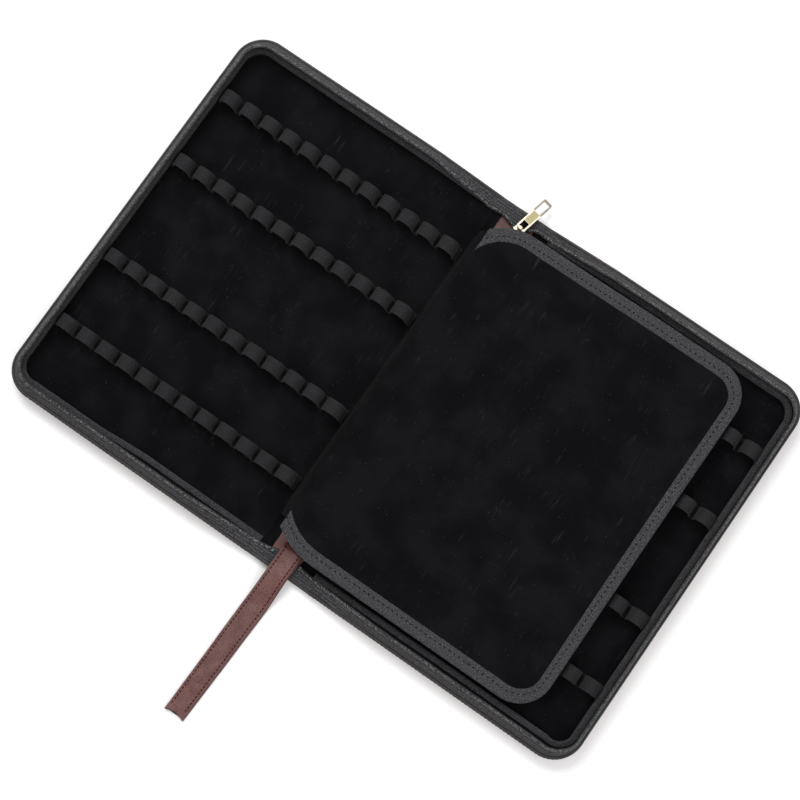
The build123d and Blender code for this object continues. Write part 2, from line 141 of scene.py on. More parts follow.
class Graph:
    """Short way to place and join shader nodes in one tree."""

    def __init__(self, tree: Tree) -> None:
        """Keeps the tree that the nodes go into."""
        self.tree = tree

    def place(self, kind: str, inputs: dict | None = None, **options: object) -> bpy.types.Node:
        """Adds one node.

        Args:
            kind: the node's type name.
            inputs: values or sockets by input name or index.
            options: the node's own properties.

        Returns:
            The new node.
        """
        made = self.tree.nodes.new(kind)
        for name, value in options.items():
            setattr(made, name, value)
        for key, value in (inputs or {}).items():
            socket = made.inputs[key]
            if isinstance(value, Socket):
                self.tree.links.new(value, socket)
            else:
                socket.default_value = value
        return made

    def maths(self, operation: str, *terms: object) -> Socket:
        """Result of one maths node."""
        return self.place("ShaderNodeMath", dict(enumerate(terms)), operation=operation).outputs[0]

    def ramp(self, value: object, low: float, high: float) -> Socket:
        """Smooth step from 0 at low to 1 at high."""
        inputs = {"Value": value, "From Min": low, "From Max": high}
        made = self.place("ShaderNodeMapRange", inputs, interpolation_type="SMOOTHSTEP")
        return made.outputs[0]

    def mix(self, share: object, first: object, second: object) -> Socket:
        """Colour between two colours."""
        made = self.place("ShaderNodeMix", {0: share, 6: first, 7: second}, data_type="RGBA")
        return made.outputs[2]

    def span(self, share: object, low: float, high: float) -> Socket:
        """Value between two values."""
        return self.place("ShaderNodeMix", {0: share, 2: low, 3: high}).outputs[0]

    def noise(self, place: object, scale: object, detail: float = 2.0) -> Socket:
        """Noise value at a place."""
        inputs = {"Vector": place, "Scale": scale, "Detail": detail}
        return self.place("ShaderNodeTexNoise", inputs).outputs[0]

    def bump(self, height: object, distance: float, strength: float = 1.0) -> Socket:
        """Normal of a surface raised by a height, with the distance in millimetres."""
        inputs = {"Height": height, "Distance": distance * MM, "Strength": strength}
        return self.place("ShaderNodeBump", inputs).outputs[0]

    def body_place(self) -> Socket:
        """Place on the object in millimetres."""
        place = self.place("ShaderNodeTexCoord").outputs["Object"]
        inputs = {0: place, "Scale": 1 / MM}
        return self.place("ShaderNodeVectorMath", inputs, operation="SCALE").outputs[0]

    def lay_place(self) -> tuple[Socket, Socket]:
        """Distances along and across a woven strip, in millimetres."""
        lay = self.place("ShaderNodeUVMap", uv_map=LAY).outputs[0]
        parts = self.place("ShaderNodeSeparateXYZ", {0: lay})
        return parts.outputs[0], parts.outputs[1]

    def finish(self, **results: Socket) -> Tree:
        """Joins an effect's results to its outputs and gives its tree."""
        self.place("NodeGroupOutput", results)
        return self.tree

    def effect(self, tree: Tree, **inputs: float) -> bpy.types.Node:
        """Places a shared effect with this material's own values."""
        made = self.place("ShaderNodeGroup", node_tree=tree)
        for name, value in inputs.items():
            made.inputs[name.capitalize()].default_value = value
        return made


def new_effect(name: str, inputs: dict[str, float], *outputs: str) -> tuple:
    """Starts a shader node group.

    Args:
        name: the group's name.
        inputs: default values by input name.
        outputs: the output names.

    Returns:
        The group's graph, and its inputs by name.
    """
    tree = bpy.data.node_groups.new(name, "ShaderNodeTree")
    for label, value in inputs.items():
        socket = tree.interface.new_socket(label, in_out="INPUT", socket_type="NodeSocketFloat")
        socket.default_value = value
    for label in outputs:
        tree.interface.new_socket(label, in_out="OUTPUT", socket_type="NodeSocketFloat")
    graph = Graph(tree)
    return graph, graph.place("NodeGroupInput").outputs


@lru_cache
def grain_effect() -> Tree:
    """Leather grain: pebbles between fine creases, with patches of tone."""
    graph, given = new_effect("Leather grain", {"Cell": 1.2}, "Height", "Tone")
    place = graph.body_place()
    bend = graph.place("ShaderNodeTexNoise", {"Vector": place, "Scale": 0.25}).outputs[1]
    shift = graph.place("ShaderNodeVectorMath", {0: place, 1: bend}, operation="ADD").outputs[0]
    scale = graph.maths("DIVIDE", 1.0, given["Cell"])
    edge = graph.place(
        "ShaderNodeTexVoronoi", {"Vector": shift, "Scale": scale}, feature="DISTANCE_TO_EDGE"
    ).outputs[0]
    pebble = graph.ramp(edge, 0.0, 0.28)
    fine = graph.noise(place, 3.0, 4.0)
    height = graph.maths("MULTIPLY_ADD", pebble, 0.75, graph.maths("MULTIPLY", fine, 0.25))
    patch = graph.noise(place, 0.02, 3.0)
    streak = graph.noise(place, 0.11, 5.0)
    tone = graph.maths("MULTIPLY_ADD", streak, 0.5, graph.maths("MULTIPLY", patch, 0.5))
    return graph.finish(Height=height, Tone=graph.ramp(tone, 0.34, 0.66))


@lru_cache
def pile_effect() -> Tree:
    """Velvet pile: short fibres, soft patches of nap and faint scuffs."""
    graph, _ = new_effect("Velvet pile", {}, "Height", "Nap", "Scuff")
    place = graph.body_place()
    nap = graph.ramp(graph.noise(place, 0.035, 3.0), 0.35, 0.68)
    streaks = graph.place("ShaderNodeMapping", {"Vector": place, "Scale": (0.5, 0.05, 0.3)}).outputs[0]
    scuff = graph.ramp(graph.noise(streaks, 1.0, 4.0), 0.56, 0.78)
    broken = graph.ramp(graph.noise(place, 0.06, 2.0), 0.5, 0.66)
    scuffed = graph.maths("MULTIPLY", scuff, broken)
    return graph.finish(Height=graph.noise(place, 2.6, 3.0), Nap=nap, Scuff=scuffed)


@lru_cache
def lint_effect() -> Tree:
    """Lint: small pale specks scattered thinly over cloth."""
    graph, given = new_effect("Lint specks", {"Amount": 0.3}, "Mask")
    place = graph.body_place()
    dots = graph.place("ShaderNodeTexVoronoi", {"Vector": place, "Scale": 0.42}).outputs[0]
    speck = graph.maths("SUBTRACT", 1.0, graph.ramp(dots, 0.03, 0.12))
    where = graph.ramp(graph.noise(place, 0.09, 2.0), 0.5, 0.62)
    return graph.finish(Mask=graph.maths("MULTIPLY", graph.maths("MULTIPLY", speck, where), given["Amount"]))


@lru_cache
def weave_effect() -> Tree:
    """Ribbed weave: ribs across a strip, threads and darker lines along it, and heathered specks that follow the rib
    height, so they also paint a highlight on the rib tops.
    """
    inputs = {"Rib": 0.9, "Thread": 0.55, "Stripe": 2.3}
    graph, given = new_effect("Ribbed weave", inputs, "Height", "Speck", "Line")
    along, across = graph.lay_place()
    rib, thread, wave = [
        graph.maths("ABSOLUTE", graph.maths("SINE", graph.maths("DIVIDE", graph.maths("MULTIPLY", way, math.pi), step)))
        for way, step in ((along, given["Rib"]), (across, given["Thread"]), (across, given["Stripe"]))
    ]
    height = graph.maths("MULTIPLY_ADD", rib, 0.7, graph.maths("MULTIPLY", thread, 0.3))
    fleck = graph.ramp(graph.noise(graph.body_place(), 1.1, 3.0), 0.42, 0.68)
    line = graph.maths("SUBTRACT", 1.0, graph.ramp(wave, 0.1, 0.6))
    return graph.finish(Height=height, Speck=graph.maths("MULTIPLY", fleck, height), Line=line)


@lru_cache
def stitch_effect() -> Tree:
    """Row of small woven-in stitches at one distance across a strip."""
    graph, given = new_effect("Stitch row", {"Row": 3.0, "Pitch": 2.0, "Width": 0.3}, "Mask")
    along, across = graph.lay_place()
    away = graph.maths("ABSOLUTE", graph.maths("SUBTRACT", across, given["Row"]))
    inside = graph.maths("LESS_THAN", away, given["Width"])
    beat = graph.maths("FRACT", graph.maths("DIVIDE", along, given["Pitch"]))
    return graph.finish(Mask=graph.maths("MULTIPLY", inside, graph.maths("LESS_THAN", beat, 0.62)))


@dataclass(frozen=True)
class Finish:
    """A finish: one procedural material and the record's slot that it belongs to."""

    name: str
    slot: str

    def material(self) -> bpy.types.Material:
        """The finish's material, made when it is first asked for."""
        made = bpy.data.materials.get(self.name)
        if made is None:
            made = bpy.data.materials.new(self.name)
            made.use_nodes = True
            made.node_tree.nodes.clear()
            graph = Graph(made.node_tree)
            shader = graph.place("ShaderNodeBsdfPrincipled", self.looks(graph))
            graph.place("ShaderNodeOutputMaterial", {"Surface": shader.outputs[0]})
        return made

    def looks(self, graph: Graph) -> dict[str, object]:
        """Places the finish's nodes and gives the shader's inputs, values or sockets by name."""
        raise NotImplementedError


@dataclass(frozen=True)
class Leather(Finish):
    """Grained leather with darker creases and paler rubbed patches."""

    base: Colour = srgb(98, 60, 54)
    dark: Colour = srgb(52, 27, 25)
    pale: Colour = srgb(134, 92, 84)
    cell: float = 1.3
    depth: float = 0.14
    gloss: float = 0.46

    def looks(self, graph: Graph) -> dict[str, object]:
        """Grain, tone and rubbed patches."""
        grain = graph.effect(grain_effect(), cell=self.cell)
        tone = graph.mix(grain.outputs["Tone"], self.base, self.pale)
        creased = graph.ramp(grain.outputs["Height"], 0.15, 0.55)
        colour = graph.mix(creased, self.dark, tone)
        return {
            "Base Color": colour,
            "Roughness": graph.span(grain.outputs["Tone"], self.gloss + 0.1, self.gloss - 0.06),
            "Normal": graph.bump(grain.outputs["Height"], self.depth),
            "Specular IOR Level": 0.45,
            "Coat Weight": 0.08,
            "Coat Roughness": 0.35,
        }


@dataclass(frozen=True)
class Velvet(Finish):
    """Short-pile black velvet."""

    base: Colour = srgb(15, 15, 17)
    lift: Colour = srgb(20, 20, 22)
    scuffed: Colour = srgb(46, 46, 48)
    lint_tone: Colour = srgb(110, 110, 112)

    def looks(self, graph: Graph) -> dict[str, object]:
        """Nap, scuffs and lint."""
        pile = graph.effect(pile_effect())
        lint = graph.effect(lint_effect(), amount=0.5)
        napped = graph.mix(pile.outputs["Nap"], self.base, self.lift)
        scuffed = graph.mix(graph.maths("MULTIPLY", pile.outputs["Scuff"], 0.5), napped, self.scuffed)
        colour = graph.mix(lint.outputs["Mask"], scuffed, self.lint_tone)
        return {
            "Base Color": colour,
            "Roughness": graph.span(pile.outputs["Nap"], 0.95, 0.85),
            "Normal": graph.bump(pile.outputs["Height"], 0.25),
            "Specular IOR Level": 0.08,
            "Sheen Weight": 0.05,
            "Sheen Roughness": 0.35,
        }


@dataclass(frozen=True)
class Woven(Finish):
    """Ribbed cloth with painted shade in the hollows between ribs, heathered specks on the rib tops that are partly a
    painted highlight, and lint; a tape also has darker lines and rows of fine stitches.
    """

    base: Colour
    speck: Colour
    # gap is painted shade for the hollows between ribs; the darker lines take the same colour
    gap: Colour
    rows: tuple[float, ...] = ()
    rib: float = 0.85
    thread: float = 0.5
    lined: float = 0.0
    fleck_highlight_share: float = 0.8
    hollow_shade_ramp: Spot = (0.1, 0.6)
    lint: float = 0.35
    lint_tone: Colour = srgb(150, 150, 150)
    thread_tone: Colour = srgb(28, 28, 30)
    rough: Spot = (0.95, 0.72)
    depth: float = 0.22
    shine: float = 0.25
    sheen: Spot = (0.1, 0.4)

    def looks(self, graph: Graph) -> dict[str, object]:
        """Weave with painted shade in its hollows, specks that are partly a painted highlight, lines, stitches and
        lint.
        """
        weave = graph.effect(weave_effect(), rib=self.rib, thread=self.thread).outputs
        lint = graph.effect(lint_effect(), amount=self.lint).outputs["Mask"]
        height = weave["Height"]
        # The low parts of the weave take the gap colour: painted shade between the ribs.
        body = graph.mix(graph.ramp(height, *self.hollow_shade_ramp), self.gap, self.base)
        # Specks only where the weave stands high: heathered fibres, partly a painted highlight on the rib tops.
        colour = graph.mix(graph.maths("MULTIPLY", weave["Speck"], self.fleck_highlight_share), body, self.speck)
        if self.lined:
            colour = graph.mix(graph.maths("MULTIPLY", weave["Line"], self.lined), colour, self.gap)
        for row in self.rows:
            mask = graph.effect(stitch_effect(), row=row, pitch=1.7, width=0.24).outputs["Mask"]
            colour = graph.mix(graph.maths("MULTIPLY", mask, 0.75), colour, self.thread_tone)
            height = graph.maths("SUBTRACT", height, graph.maths("MULTIPLY", mask, 0.8))
        return {
            "Base Color": graph.mix(lint, colour, self.lint_tone),
            "Roughness": graph.span(weave["Height"], *self.rough),
            "Normal": graph.bump(height, self.depth),
            "Specular IOR Level": self.shine,
            "Sheen Weight": self.sheen[0],
            "Sheen Roughness": self.sheen[1],
        }


@dataclass(frozen=True)
class Filament(Finish):
    """Moulded nylon or spun thread: one colour with a faint twist and paler patches here and there."""

    base: Colour
    paler_patch: Colour
    gloss: float
    twist: float
    patch: float = 0.3
    shine: float = 0.4

    def looks(self, graph: Graph) -> dict[str, object]:
        """Twist and paler patches."""
        place = graph.body_place()
        twist = graph.noise(place, self.twist, 2.0)
        paler_patch = graph.ramp(graph.noise(place, self.patch, 3.0), 0.44, 0.62)
        return {
            "Base Color": graph.mix(paler_patch, self.base, self.paler_patch),
            "Roughness": graph.span(twist, self.gloss - 0.08, self.gloss + 0.14),
            "Normal": graph.bump(twist, 0.06),
            "Specular IOR Level": self.shine,
        }


@dataclass(frozen=True)
class Brass(Finish):
    """Pale gold plate, brushed, dulled in places, with areas of another tone; on the slider and the bridge these areas
    are painted shade.

    Each area is the first and last distance along the pull, half its width, and its colour.
    """

    base: Colour = srgb(210, 203, 184)
    dull: Colour = srgb(182, 171, 144)
    tone_and_shade_areas: tuple[tuple[float, float, float, Colour], ...] = ()
    origin_y: float = 146.5
    yaw: float = math.radians(-13.0)
    soft: float = 0.15

    def looks(self, graph: Graph) -> dict[str, object]:
        """Brushing, dulling and the areas, which on the slider and the bridge are painted shade."""
        place = graph.body_place()
        inputs = {"Vector": place, "Location": (0, self.origin_y, 0), "Rotation": (0, 0, self.yaw)}
        turned = graph.place("ShaderNodeMapping", inputs, vector_type="TEXTURE").outputs[0]
        parts = graph.place("ShaderNodeSeparateXYZ", {0: turned})
        drawn = graph.place("ShaderNodeMapping", {"Vector": turned, "Scale": (6.0, 0.4, 6.0)}).outputs[0]
        brush = graph.noise(drawn, 1.0, 4.0)
        dulled = graph.maths("MULTIPLY", graph.ramp(graph.noise(place, 0.25, 3.0), 0.4, 0.75), 0.5)
        colour = graph.mix(dulled, self.base, self.dull)
        away = graph.maths("ABSOLUTE", parts.outputs[0])
        # Each area's colour covers the plate there; on the slider and the bridge it is painted shade in the pull's deep
        # slot.
        for first, last, half, tone in self.tone_and_shade_areas:
            begun, ended, beside = [
                graph.ramp(reach, limit - self.soft, limit + self.soft)
                for reach, limit in ((parts.outputs[1], first), (parts.outputs[1], last), (away, half))
            ]
            inside = graph.maths("SUBTRACT", graph.maths("SUBTRACT", begun, ended), beside)
            colour = graph.mix(graph.maths("MAXIMUM", inside, 0.0), colour, tone)
        return {
            "Base Color": colour,
            "Metallic": 1.0,
            "Roughness": graph.span(brush, 0.24, 0.44),
            "Normal": graph.bump(brush, 0.012),
        }


@dataclass(frozen=True)
class Fibreboard(Finish):
    """Pressed grey board."""

    base: Colour = srgb(96, 90, 84)
    fibre: Colour = srgb(140, 132, 124)

    def looks(self, graph: Graph) -> dict[str, object]:
        """Short fibres."""
        fibres = graph.noise(graph.body_place(), 1.4, 6.0)
        return {
            "Base Color": graph.mix(graph.ramp(fibres, 0.4, 0.7), self.base, self.fibre),
            "Roughness": 0.9,
            "Normal": graph.bump(fibres, 0.1),
        }


@dataclass(frozen=True)
class Paper(Finish):
    """Pale seamless studio paper."""

    base: Colour = srgb(247, 247, 247)
    tooth: Colour = srgb(240, 240, 240)

    def looks(self, graph: Graph) -> dict[str, object]:
        """A faint tooth."""
        tooth = graph.noise(graph.body_place(), 0.6, 4.0)
        return {
            "Base Color": graph.mix(tooth, self.base, self.tooth),
            "Roughness": 0.9,
            "Specular IOR Level": 0.1,
            "Normal": graph.bump(tooth, 0.02),
        }


BROWN_LEATHER = Leather("Brown leather", "brown_leather")
SPINE_LEATHER = Leather(
    "Soft brown leather", "brown_leather", srgb(92, 56, 50), srgb(62, 34, 31), srgb(116, 76, 68), 0.9, 0.1
)
STRAP_LEATHER = Leather(
    "Strap leather", "strap_leather", srgb(88, 50, 48), srgb(66, 34, 33), srgb(116, 79, 74), 0.8, 0.08, 0.42
)
EDGE_LEATHER = Leather(
    "Dark edge leather", "brown_leather", srgb(36, 32, 32), srgb(20, 17, 17), srgb(54, 48, 47), 0.9
)
BLACK_VELVET = Velvet("Black velvet", "black_velvet")
# Woven colours: cloth, heathered specks that are partly a painted highlight on the rib tops, and painted shade for the
# hollows between ribs.
TAPE = Woven(
    "Zip tape weave", "grey_tape", srgb(48, 48, 50), srgb(112, 112, 114), srgb(20, 20, 22), (5.2, 9.4), lined=0.75
)
BINDING = Woven("Binding weave", "grey_tape", srgb(46, 45, 48), srgb(96, 95, 99), srgb(24, 24, 26), rib=0.95)
WALL_BINDING = Woven("Wall binding weave", "grey_tape", srgb(38, 38, 40), srgb(84, 84, 87), srgb(18, 18, 20))
ELASTIC = Woven(
    "Charcoal elastic",
    "elastic",
    srgb(31, 31, 33),
    srgb(56, 55, 58),
    srgb(12, 12, 13),
    rib=0.62,
    thread=0.95,
    fleck_highlight_share=0.5,
    hollow_shade_ramp=(0.15, 0.6),
    lint=0.25,
    lint_tone=srgb(120, 120, 120),
    rough=(0.9, 0.66),
    depth=0.2,
    shine=0.2,
    sheen=(0.05, 0.35),
)
COIL_NYLON = Filament("Coil nylon", "zip_coil", srgb(40, 40, 42), srgb(112, 112, 112), 0.4, 2.2, 0.9, 0.3)
BLACK_THREAD = Filament("Black thread", "elastic", srgb(8, 8, 9), srgb(18, 18, 19), 0.7, 3.0, 0.3, 0.06)
RED_THREAD = Filament("Dark red thread", "strap_leather", srgb(46, 8, 14), srgb(60, 16, 20), 0.7, 3.0, 0.3, 0.06)
BROWN_THREAD = Filament("Brown thread", "brown_leather", srgb(60, 34, 28), srgb(104, 74, 62), 0.6, 3.0)
PULL_BRASS = Brass(
    "Pull brass",
    "pale_brass",
    tone_and_shade_areas=((12.1, 22.2, 2.9, srgb(150, 141, 108)), (22.4, 40.0, 9.0, srgb(128, 120, 108))),
)
# The slider's dark area is painted shade in the deep slot under the pull.
SLIDER_BRASS = Brass("Slider brass", "pale_brass", tone_and_shade_areas=((6.0, 14.0, 3.3, srgb(22, 19, 17)),))
# The bridge's dark area is painted shade where it shows through the pull's slot.
BRIDGE_BRASS = Brass("Bridge brass", "pale_brass", tone_and_shade_areas=((6.2, 14.0, 9.0, srgb(30, 24, 20)),))
DARK_BRASS = Brass("Darkened brass", "pale_brass", srgb(50, 42, 36), srgb(34, 27, 22))
BOARD = Fibreboard("Pressed board", "board")
STUDIO_PAPER = Paper("Studio paper", "board")


class MeshPot:
    """Collects closed shapes in millimetres and turns them into one mesh."""

    def __init__(self) -> None:
        """Starts empty."""
        self.points: list[Point] = []
        self.lays: list[Spot] = []
        self.faces: list[tuple[int, ...]] = []

    def skin(self, rows: Sequence[Sequence[Point]], lays: Sequence[Sequence[Spot]] | None = None) -> None:
        """Joins closed sections of equal length into a capped tube.

        Args:
            rows: the sections in order, each a closed ring of points.
            lays: distances along and across the weave, one for each point.
        """
        first = len(self.points)
        size = len(rows[0])
        for index, row in enumerate(rows):
            self.points.extend(row)
            self.lays.extend(lays[index] if lays else [(0.0, 0.0)] * size)
        for index in range(len(rows) - 1):
            near = first + index * size
            for step in range(size):
                after = (step + 1) % size
                self.faces.append((near + step, near + after, near + size + after, near + size + step))
        last = first + (len(rows) - 1) * size
        self.faces.append(tuple(range(first, first + size)))
        self.faces.append(tuple(range(last, last + size)))

    def slab(self, top: Sequence[Sequence[Point]], bottom: Sequence[Sequence[Point]]) -> None:
        """Closed sheet between two grids of the same size."""
        first = len(self.points)
        wide = len(top[0])
        tall = len(top)
        for grid in (top, bottom):
            for row in grid:
                self.points.extend(row)
                self.lays.extend((point[1], point[0]) for point in row)
        under = wide * tall
        for row in range(tall - 1):
            for column in range(wide - 1):
                a = first + row * wide + column
                self.faces.append((a, a + 1, a + wide + 1, a + wide))
                self.faces.append((a + under + wide, a + under + wide + 1, a + under + 1, a + under))
        edge = [row * wide for row in range(tall)]
        edge += [(tall - 1) * wide + column for column in range(1, wide)]
        edge += [row * wide + wide - 1 for row in range(tall - 2, -1, -1)]
        edge += [column for column in range(wide - 2, 0, -1)]
        for here, after in zip(edge, edge[1:] + edge[:1]):
            self.faces.append((first + here, first + after, first + after + under, first + here + under))

    def stitch(self, centre: Vector, along: Vector, up: Vector, length: float, width: float) -> None:
        """One raised stitch.

        Args:
            centre: the middle of its foot.
            along: direction that it lies in.
            up: direction that it stands out in.
            length: its length.
            width: its width.
        """
        run = along.normalized()
        rise = up.normalized()
        across = run.cross(rise)
        rows = []
        for reach, scale in ((-0.5, 0.35), (-0.36, 0.9), (0.0, 1.0), (0.36, 0.9), (0.5, 0.35)):
            base = centre + run * (reach * length)
            ring = []
            for angle in (200, 270, 340, 50, 130):
                turn = math.radians(angle)
                side = math.cos(turn) * width / 2 * scale
                lift = (0.12 + math.sin(turn) * 0.5) * width * scale
                ring.append(tuple(base + across * side + rise * lift))
            rows.append(ring)
        self.skin(rows)

    def build(self, name: str, finish: Finish, sharp: float = 42.0) -> Piece:
        """Makes the object.

        Args:
            name: the piece's name.
            finish: its finish.
            sharp: angle in degrees above which an edge stays crisp.

        Returns:
            The new object, linked to the scene.
        """
        mesh = bpy.data.meshes.new(name)
        mesh.from_pydata([tuple(part * MM for part in point) for point in self.points], [], self.faces)
        work = bmesh.new()
        work.from_mesh(mesh)
        bmesh.ops.recalc_face_normals(work, faces=work.faces)
        work.to_mesh(mesh)
        work.free()
        layer = mesh.uv_layers.new(name=LAY)
        corners = [part for loop in mesh.loops for part in self.lays[loop.vertex_index]]
        layer.data.foreach_set("uv", corners)
        mesh.polygons.foreach_set("use_smooth", [True] * len(mesh.polygons))
        mesh.set_sharp_from_angle(angle=math.radians(sharp))
        made = bpy.data.objects.new(name, mesh)
        bpy.context.scene.collection.objects.link(made)
        mesh.materials.append(finish.material())
        return made


def skinned(
    name: str,
    finish: Finish,
    sharp: float,
    rows: Sequence[Sequence[Point]],
    lays: Sequence[Sequence[Spot]] | None = None,
) -> Piece:
    """Piece made of one capped tube; its arguments are those of MeshPot's build and skin."""
    pot = MeshPot()
    pot.skin(rows, lays)
    return pot.build(name, finish, sharp)


def laid(name: str, finish: Finish, grid: Sequence[Sequence[tuple]]) -> Piece:
    """Piece made of one closed sheet.

    Args:
        name: the piece's name.
        finish: its finish.
        grid: X, Y, top and underside of each point, row by row.

    Returns:
        The new object.
    """
    pot = MeshPot()
    tops = [[(x, y, high) for x, y, high, _ in row] for row in grid]
    pot.slab(tops, [[(x, y, low) for x, y, _, low in row] for row in grid])
    return pot.build(name, finish, 50.0)


def settle(piece: Piece, body: str, *nodes: str) -> Piece:
    """Rides a piece on a body, in place of the CAD nodes that it stands for."""
    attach(piece, body)
    if nodes:
        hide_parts(*nodes)
    return piece


def dress(node: str, finish: Finish, round_edge: float = 0.0) -> Piece:
    """Gives a CAD node its finish.

    Args:
        node: the node's name.
        finish: its finish.
        round_edge: width of the rounding on its sharp edges, in millimetres.

    Returns:
        The node's object.
    """
    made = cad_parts[node]
    if not made.data.materials:
        made.data.materials.append(None)
    for place in made.material_slots:
        place.link = "OBJECT"
        place.material = finish.material()
    if round_edge:
        soften = made.modifiers.new("Rounded edges", "BEVEL")
        soften.width = round_edge * MM
        soften.segments = 3
        soften.limit_method = "ANGLE"
        soften.angle_limit = math.radians(35)
    return made


def ribbon(line: Sequence[Spot], thickness: float) -> Ring:
    """Closed section of a cloth strip round its middle line.

    Args:
        line: the middle line as pairs of inset and height.
        thickness: the strip's thickness.

    Returns:
        Inset, height and distance across for each point of the ring.
    """
    half = thickness / 2
    front, back = [], []
    across = 0.0
    for index, (inset, height) in enumerate(line):
        before = line[max(0, index - 1)]
        after = line[min(len(line) - 1, index + 1)]
        run, rise = after[0] - before[0], after[1] - before[1]
        size = math.hypot(run, rise)
        if index:
            across += math.dist(line[index - 1], line[index])
        normal = (-rise / size * half, run / size * half)
        front.append((inset + normal[0], height + normal[1], across))
        back.append((inset - normal[0], height - normal[1], across))
    tip = line[-1]
    size = math.dist(line[-2], tip)
    reach = ((tip[0] - line[-2][0]) / size * half * 0.6, (tip[1] - line[-2][1]) / size * half * 0.6)
    rounded = (tip[0] + reach[0], tip[1] + reach[1], across + half)
    return [*front, rounded, *reversed(back)]


class Place(Enum):
    """A named place on the case."""

    @property
    def word(self) -> str:
        """The place's name as pieces use it."""
        return self.name.lower()


class Side(Place):
    """The two halves of the open case; the value is the sign of X."""

    RIGHT = 1
    LEFT = -1

    @property
    def body(self) -> str:
        """Name of the half's moving body."""
        return f"{self.word}_half"


class End(Place):
    """The two ends of the spine; the value is the sign of Y."""

    TOP = 1
    BOTTOM = -1


@dataclass(frozen=True)
class Station:
    """A place on a half's outline, drawn for the right half."""

    x: float
    y: float
    inward: Spot
    along: float
    end_share: float
    top: bool
    rise: float

    def inset(self, side: float, top: float, bottom: float) -> float:
        """Inset here of a line that keeps its own distance on each side."""
        return lerp(side, top if self.top else bottom, self.end_share)


@dataclass(frozen=True)
class Rim:
    """Outline of a half, from the spine's top end round to its bottom end."""

    edge: float = 254.0
    half_length: float = 165.0
    corner: float = 24.0
    start: float = 27.15
    low_x: float = 27.15
    ramp_end: float = 80.0
    bend_step: float = 2.4

    @property
    def straight(self) -> float:
        """Length of the top side's straight run."""
        return self.edge - self.corner - self.start

    @property
    def bend(self) -> float:
        """Length of one corner's arc."""
        return RIGHT_ANGLE * self.corner

    @property
    def length(self) -> float:
        """Length of the whole run."""
        return 2 * (self.straight + self.bend + self.half_length - self.corner)

    def at(self, along: float) -> Station:
        """Station at a distance along the outline.

        Args:
            along: distance from the spine's top end.

        Returns:
            The station there.
        """
        reach = min(along, self.length - along)
        sign = 1 if along <= self.length / 2 else -1
        turned = clamp((reach - self.straight) / self.corner, 0.0, RIGHT_ANGLE)
        x = min(self.start + reach, self.edge - self.corner) + self.corner * math.sin(turned)
        beyond = max(0.0, reach - self.straight - self.bend)
        y = self.half_length - self.corner * (1 - math.cos(turned)) - beyond
        return Station(
            x=x,
            y=sign * y,
            inward=(-math.sin(turned), -sign * math.cos(turned)),
            along=along,
            end_share=1 - turned / RIGHT_ANGLE,
            top=sign > 0,
            rise=clamp((x - self.low_x) / (self.ramp_end - self.low_x)),
        )

    def stations(self, step: float = 5.0) -> list[Station]:
        """Stations close enough together for a smooth sweep.

        Args:
            step: greatest distance between two of them on a straight run.

        Returns:
            The stations in order.
        """
        first = self.straight
        second = first + self.bend
        third = self.length - second
        fourth = self.length - first
        alongs = spaced(0, first, step)
        for low, high, gap in (
            (first, second, self.bend_step),
            (second, third, step),
            (third, fourth, self.bend_step),
            (fourth, self.length, step),
        ):
            alongs += spaced(low, high, gap)[1:]
        return [self.at(along) for along in alongs]


def rim_point(side: Side, station: Station, inset: float, height: float) -> Point:
    """Point at an inset from a half's outline."""
    x = station.x + station.inward[0] * inset
    return (side.value * x, station.y + station.inward[1] * inset, height)


def swept(
    name: str,
    finish: Finish,
    sharp: float,
    side: Side,
    stations: Iterable[Station],
    section: Callable[[Station], Ring],
) -> Piece:
    """Piece with a closed section swept along a half's outline, riding on that half.

    Args:
        name: what the piece is; the side's name comes before it.
        finish: its finish.
        sharp: angle in degrees above which an edge stays crisp.
        side: the half.
        stations: places along the outline.
        section: gives inset, height and distance across for each point of the ring.

    Returns:
        The new object.
    """
    rows, lays = [], []
    for station in stations:
        ring = section(station)
        rows.append([rim_point(side, station, inset, height) for inset, height, _ in ring])
        lays.append([(station.along, across) for _, _, across in ring])
    return settle(skinned(f"{side.word}_{name}", finish, sharp, rows, lays), side.body)


@dataclass(frozen=True)
class CoilSeat:
    """Where one place of a zip coil sits."""

    origin: Vector
    run: Vector
    across: Vector
    normal: Vector


def wind_coil(pot: MeshPot, seat_at: Callable[[float], CoilSeat], length: float, pitch: float = 1.3) -> None:
    """Winds a zip coil: leaning turns of nylon over a thin core.

    Args:
        pot: where the mesh goes.
        seat_at: gives the seat at a distance along the coil.
        length: the coil's length.
        pitch: distance between turns.
    """
    wire = 0.3
    half_width = 1.05
    height = 0.95
    lean = 0.42
    arch = [math.pi * step / 5 for step in range(6)]
    for turn in range(int(length / pitch)):
        middle = (turn + 0.5) * pitch
        rows = []
        for angle in arch:
            seat = seat_at(clamp(middle + pitch * lean * math.cos(angle), 0.0, length))
            out = seat.across * math.cos(angle) + seat.normal * math.sin(angle)
            flat = seat.across * (math.cos(angle) * half_width)
            point = seat.origin + flat + seat.normal * (math.sin(angle) * height)
            offsets = (seat.run * wire, out * wire, seat.run * -wire, out * -wire)
            rows.append([tuple(point + offset) for offset in offsets])
        pot.skin(rows)
    core = []
    for along in spaced(0.0, length, 4.0):
        seat = seat_at(along)
        ring = []
        for step in range(6):
            angle = math.pi * step / 3
            reach = seat.across * math.cos(angle) * 0.75 + seat.normal * (0.45 + 0.4 * math.sin(angle))
            ring.append(tuple(seat.origin + reach))
        core.append(ring)
    pot.skin(core)


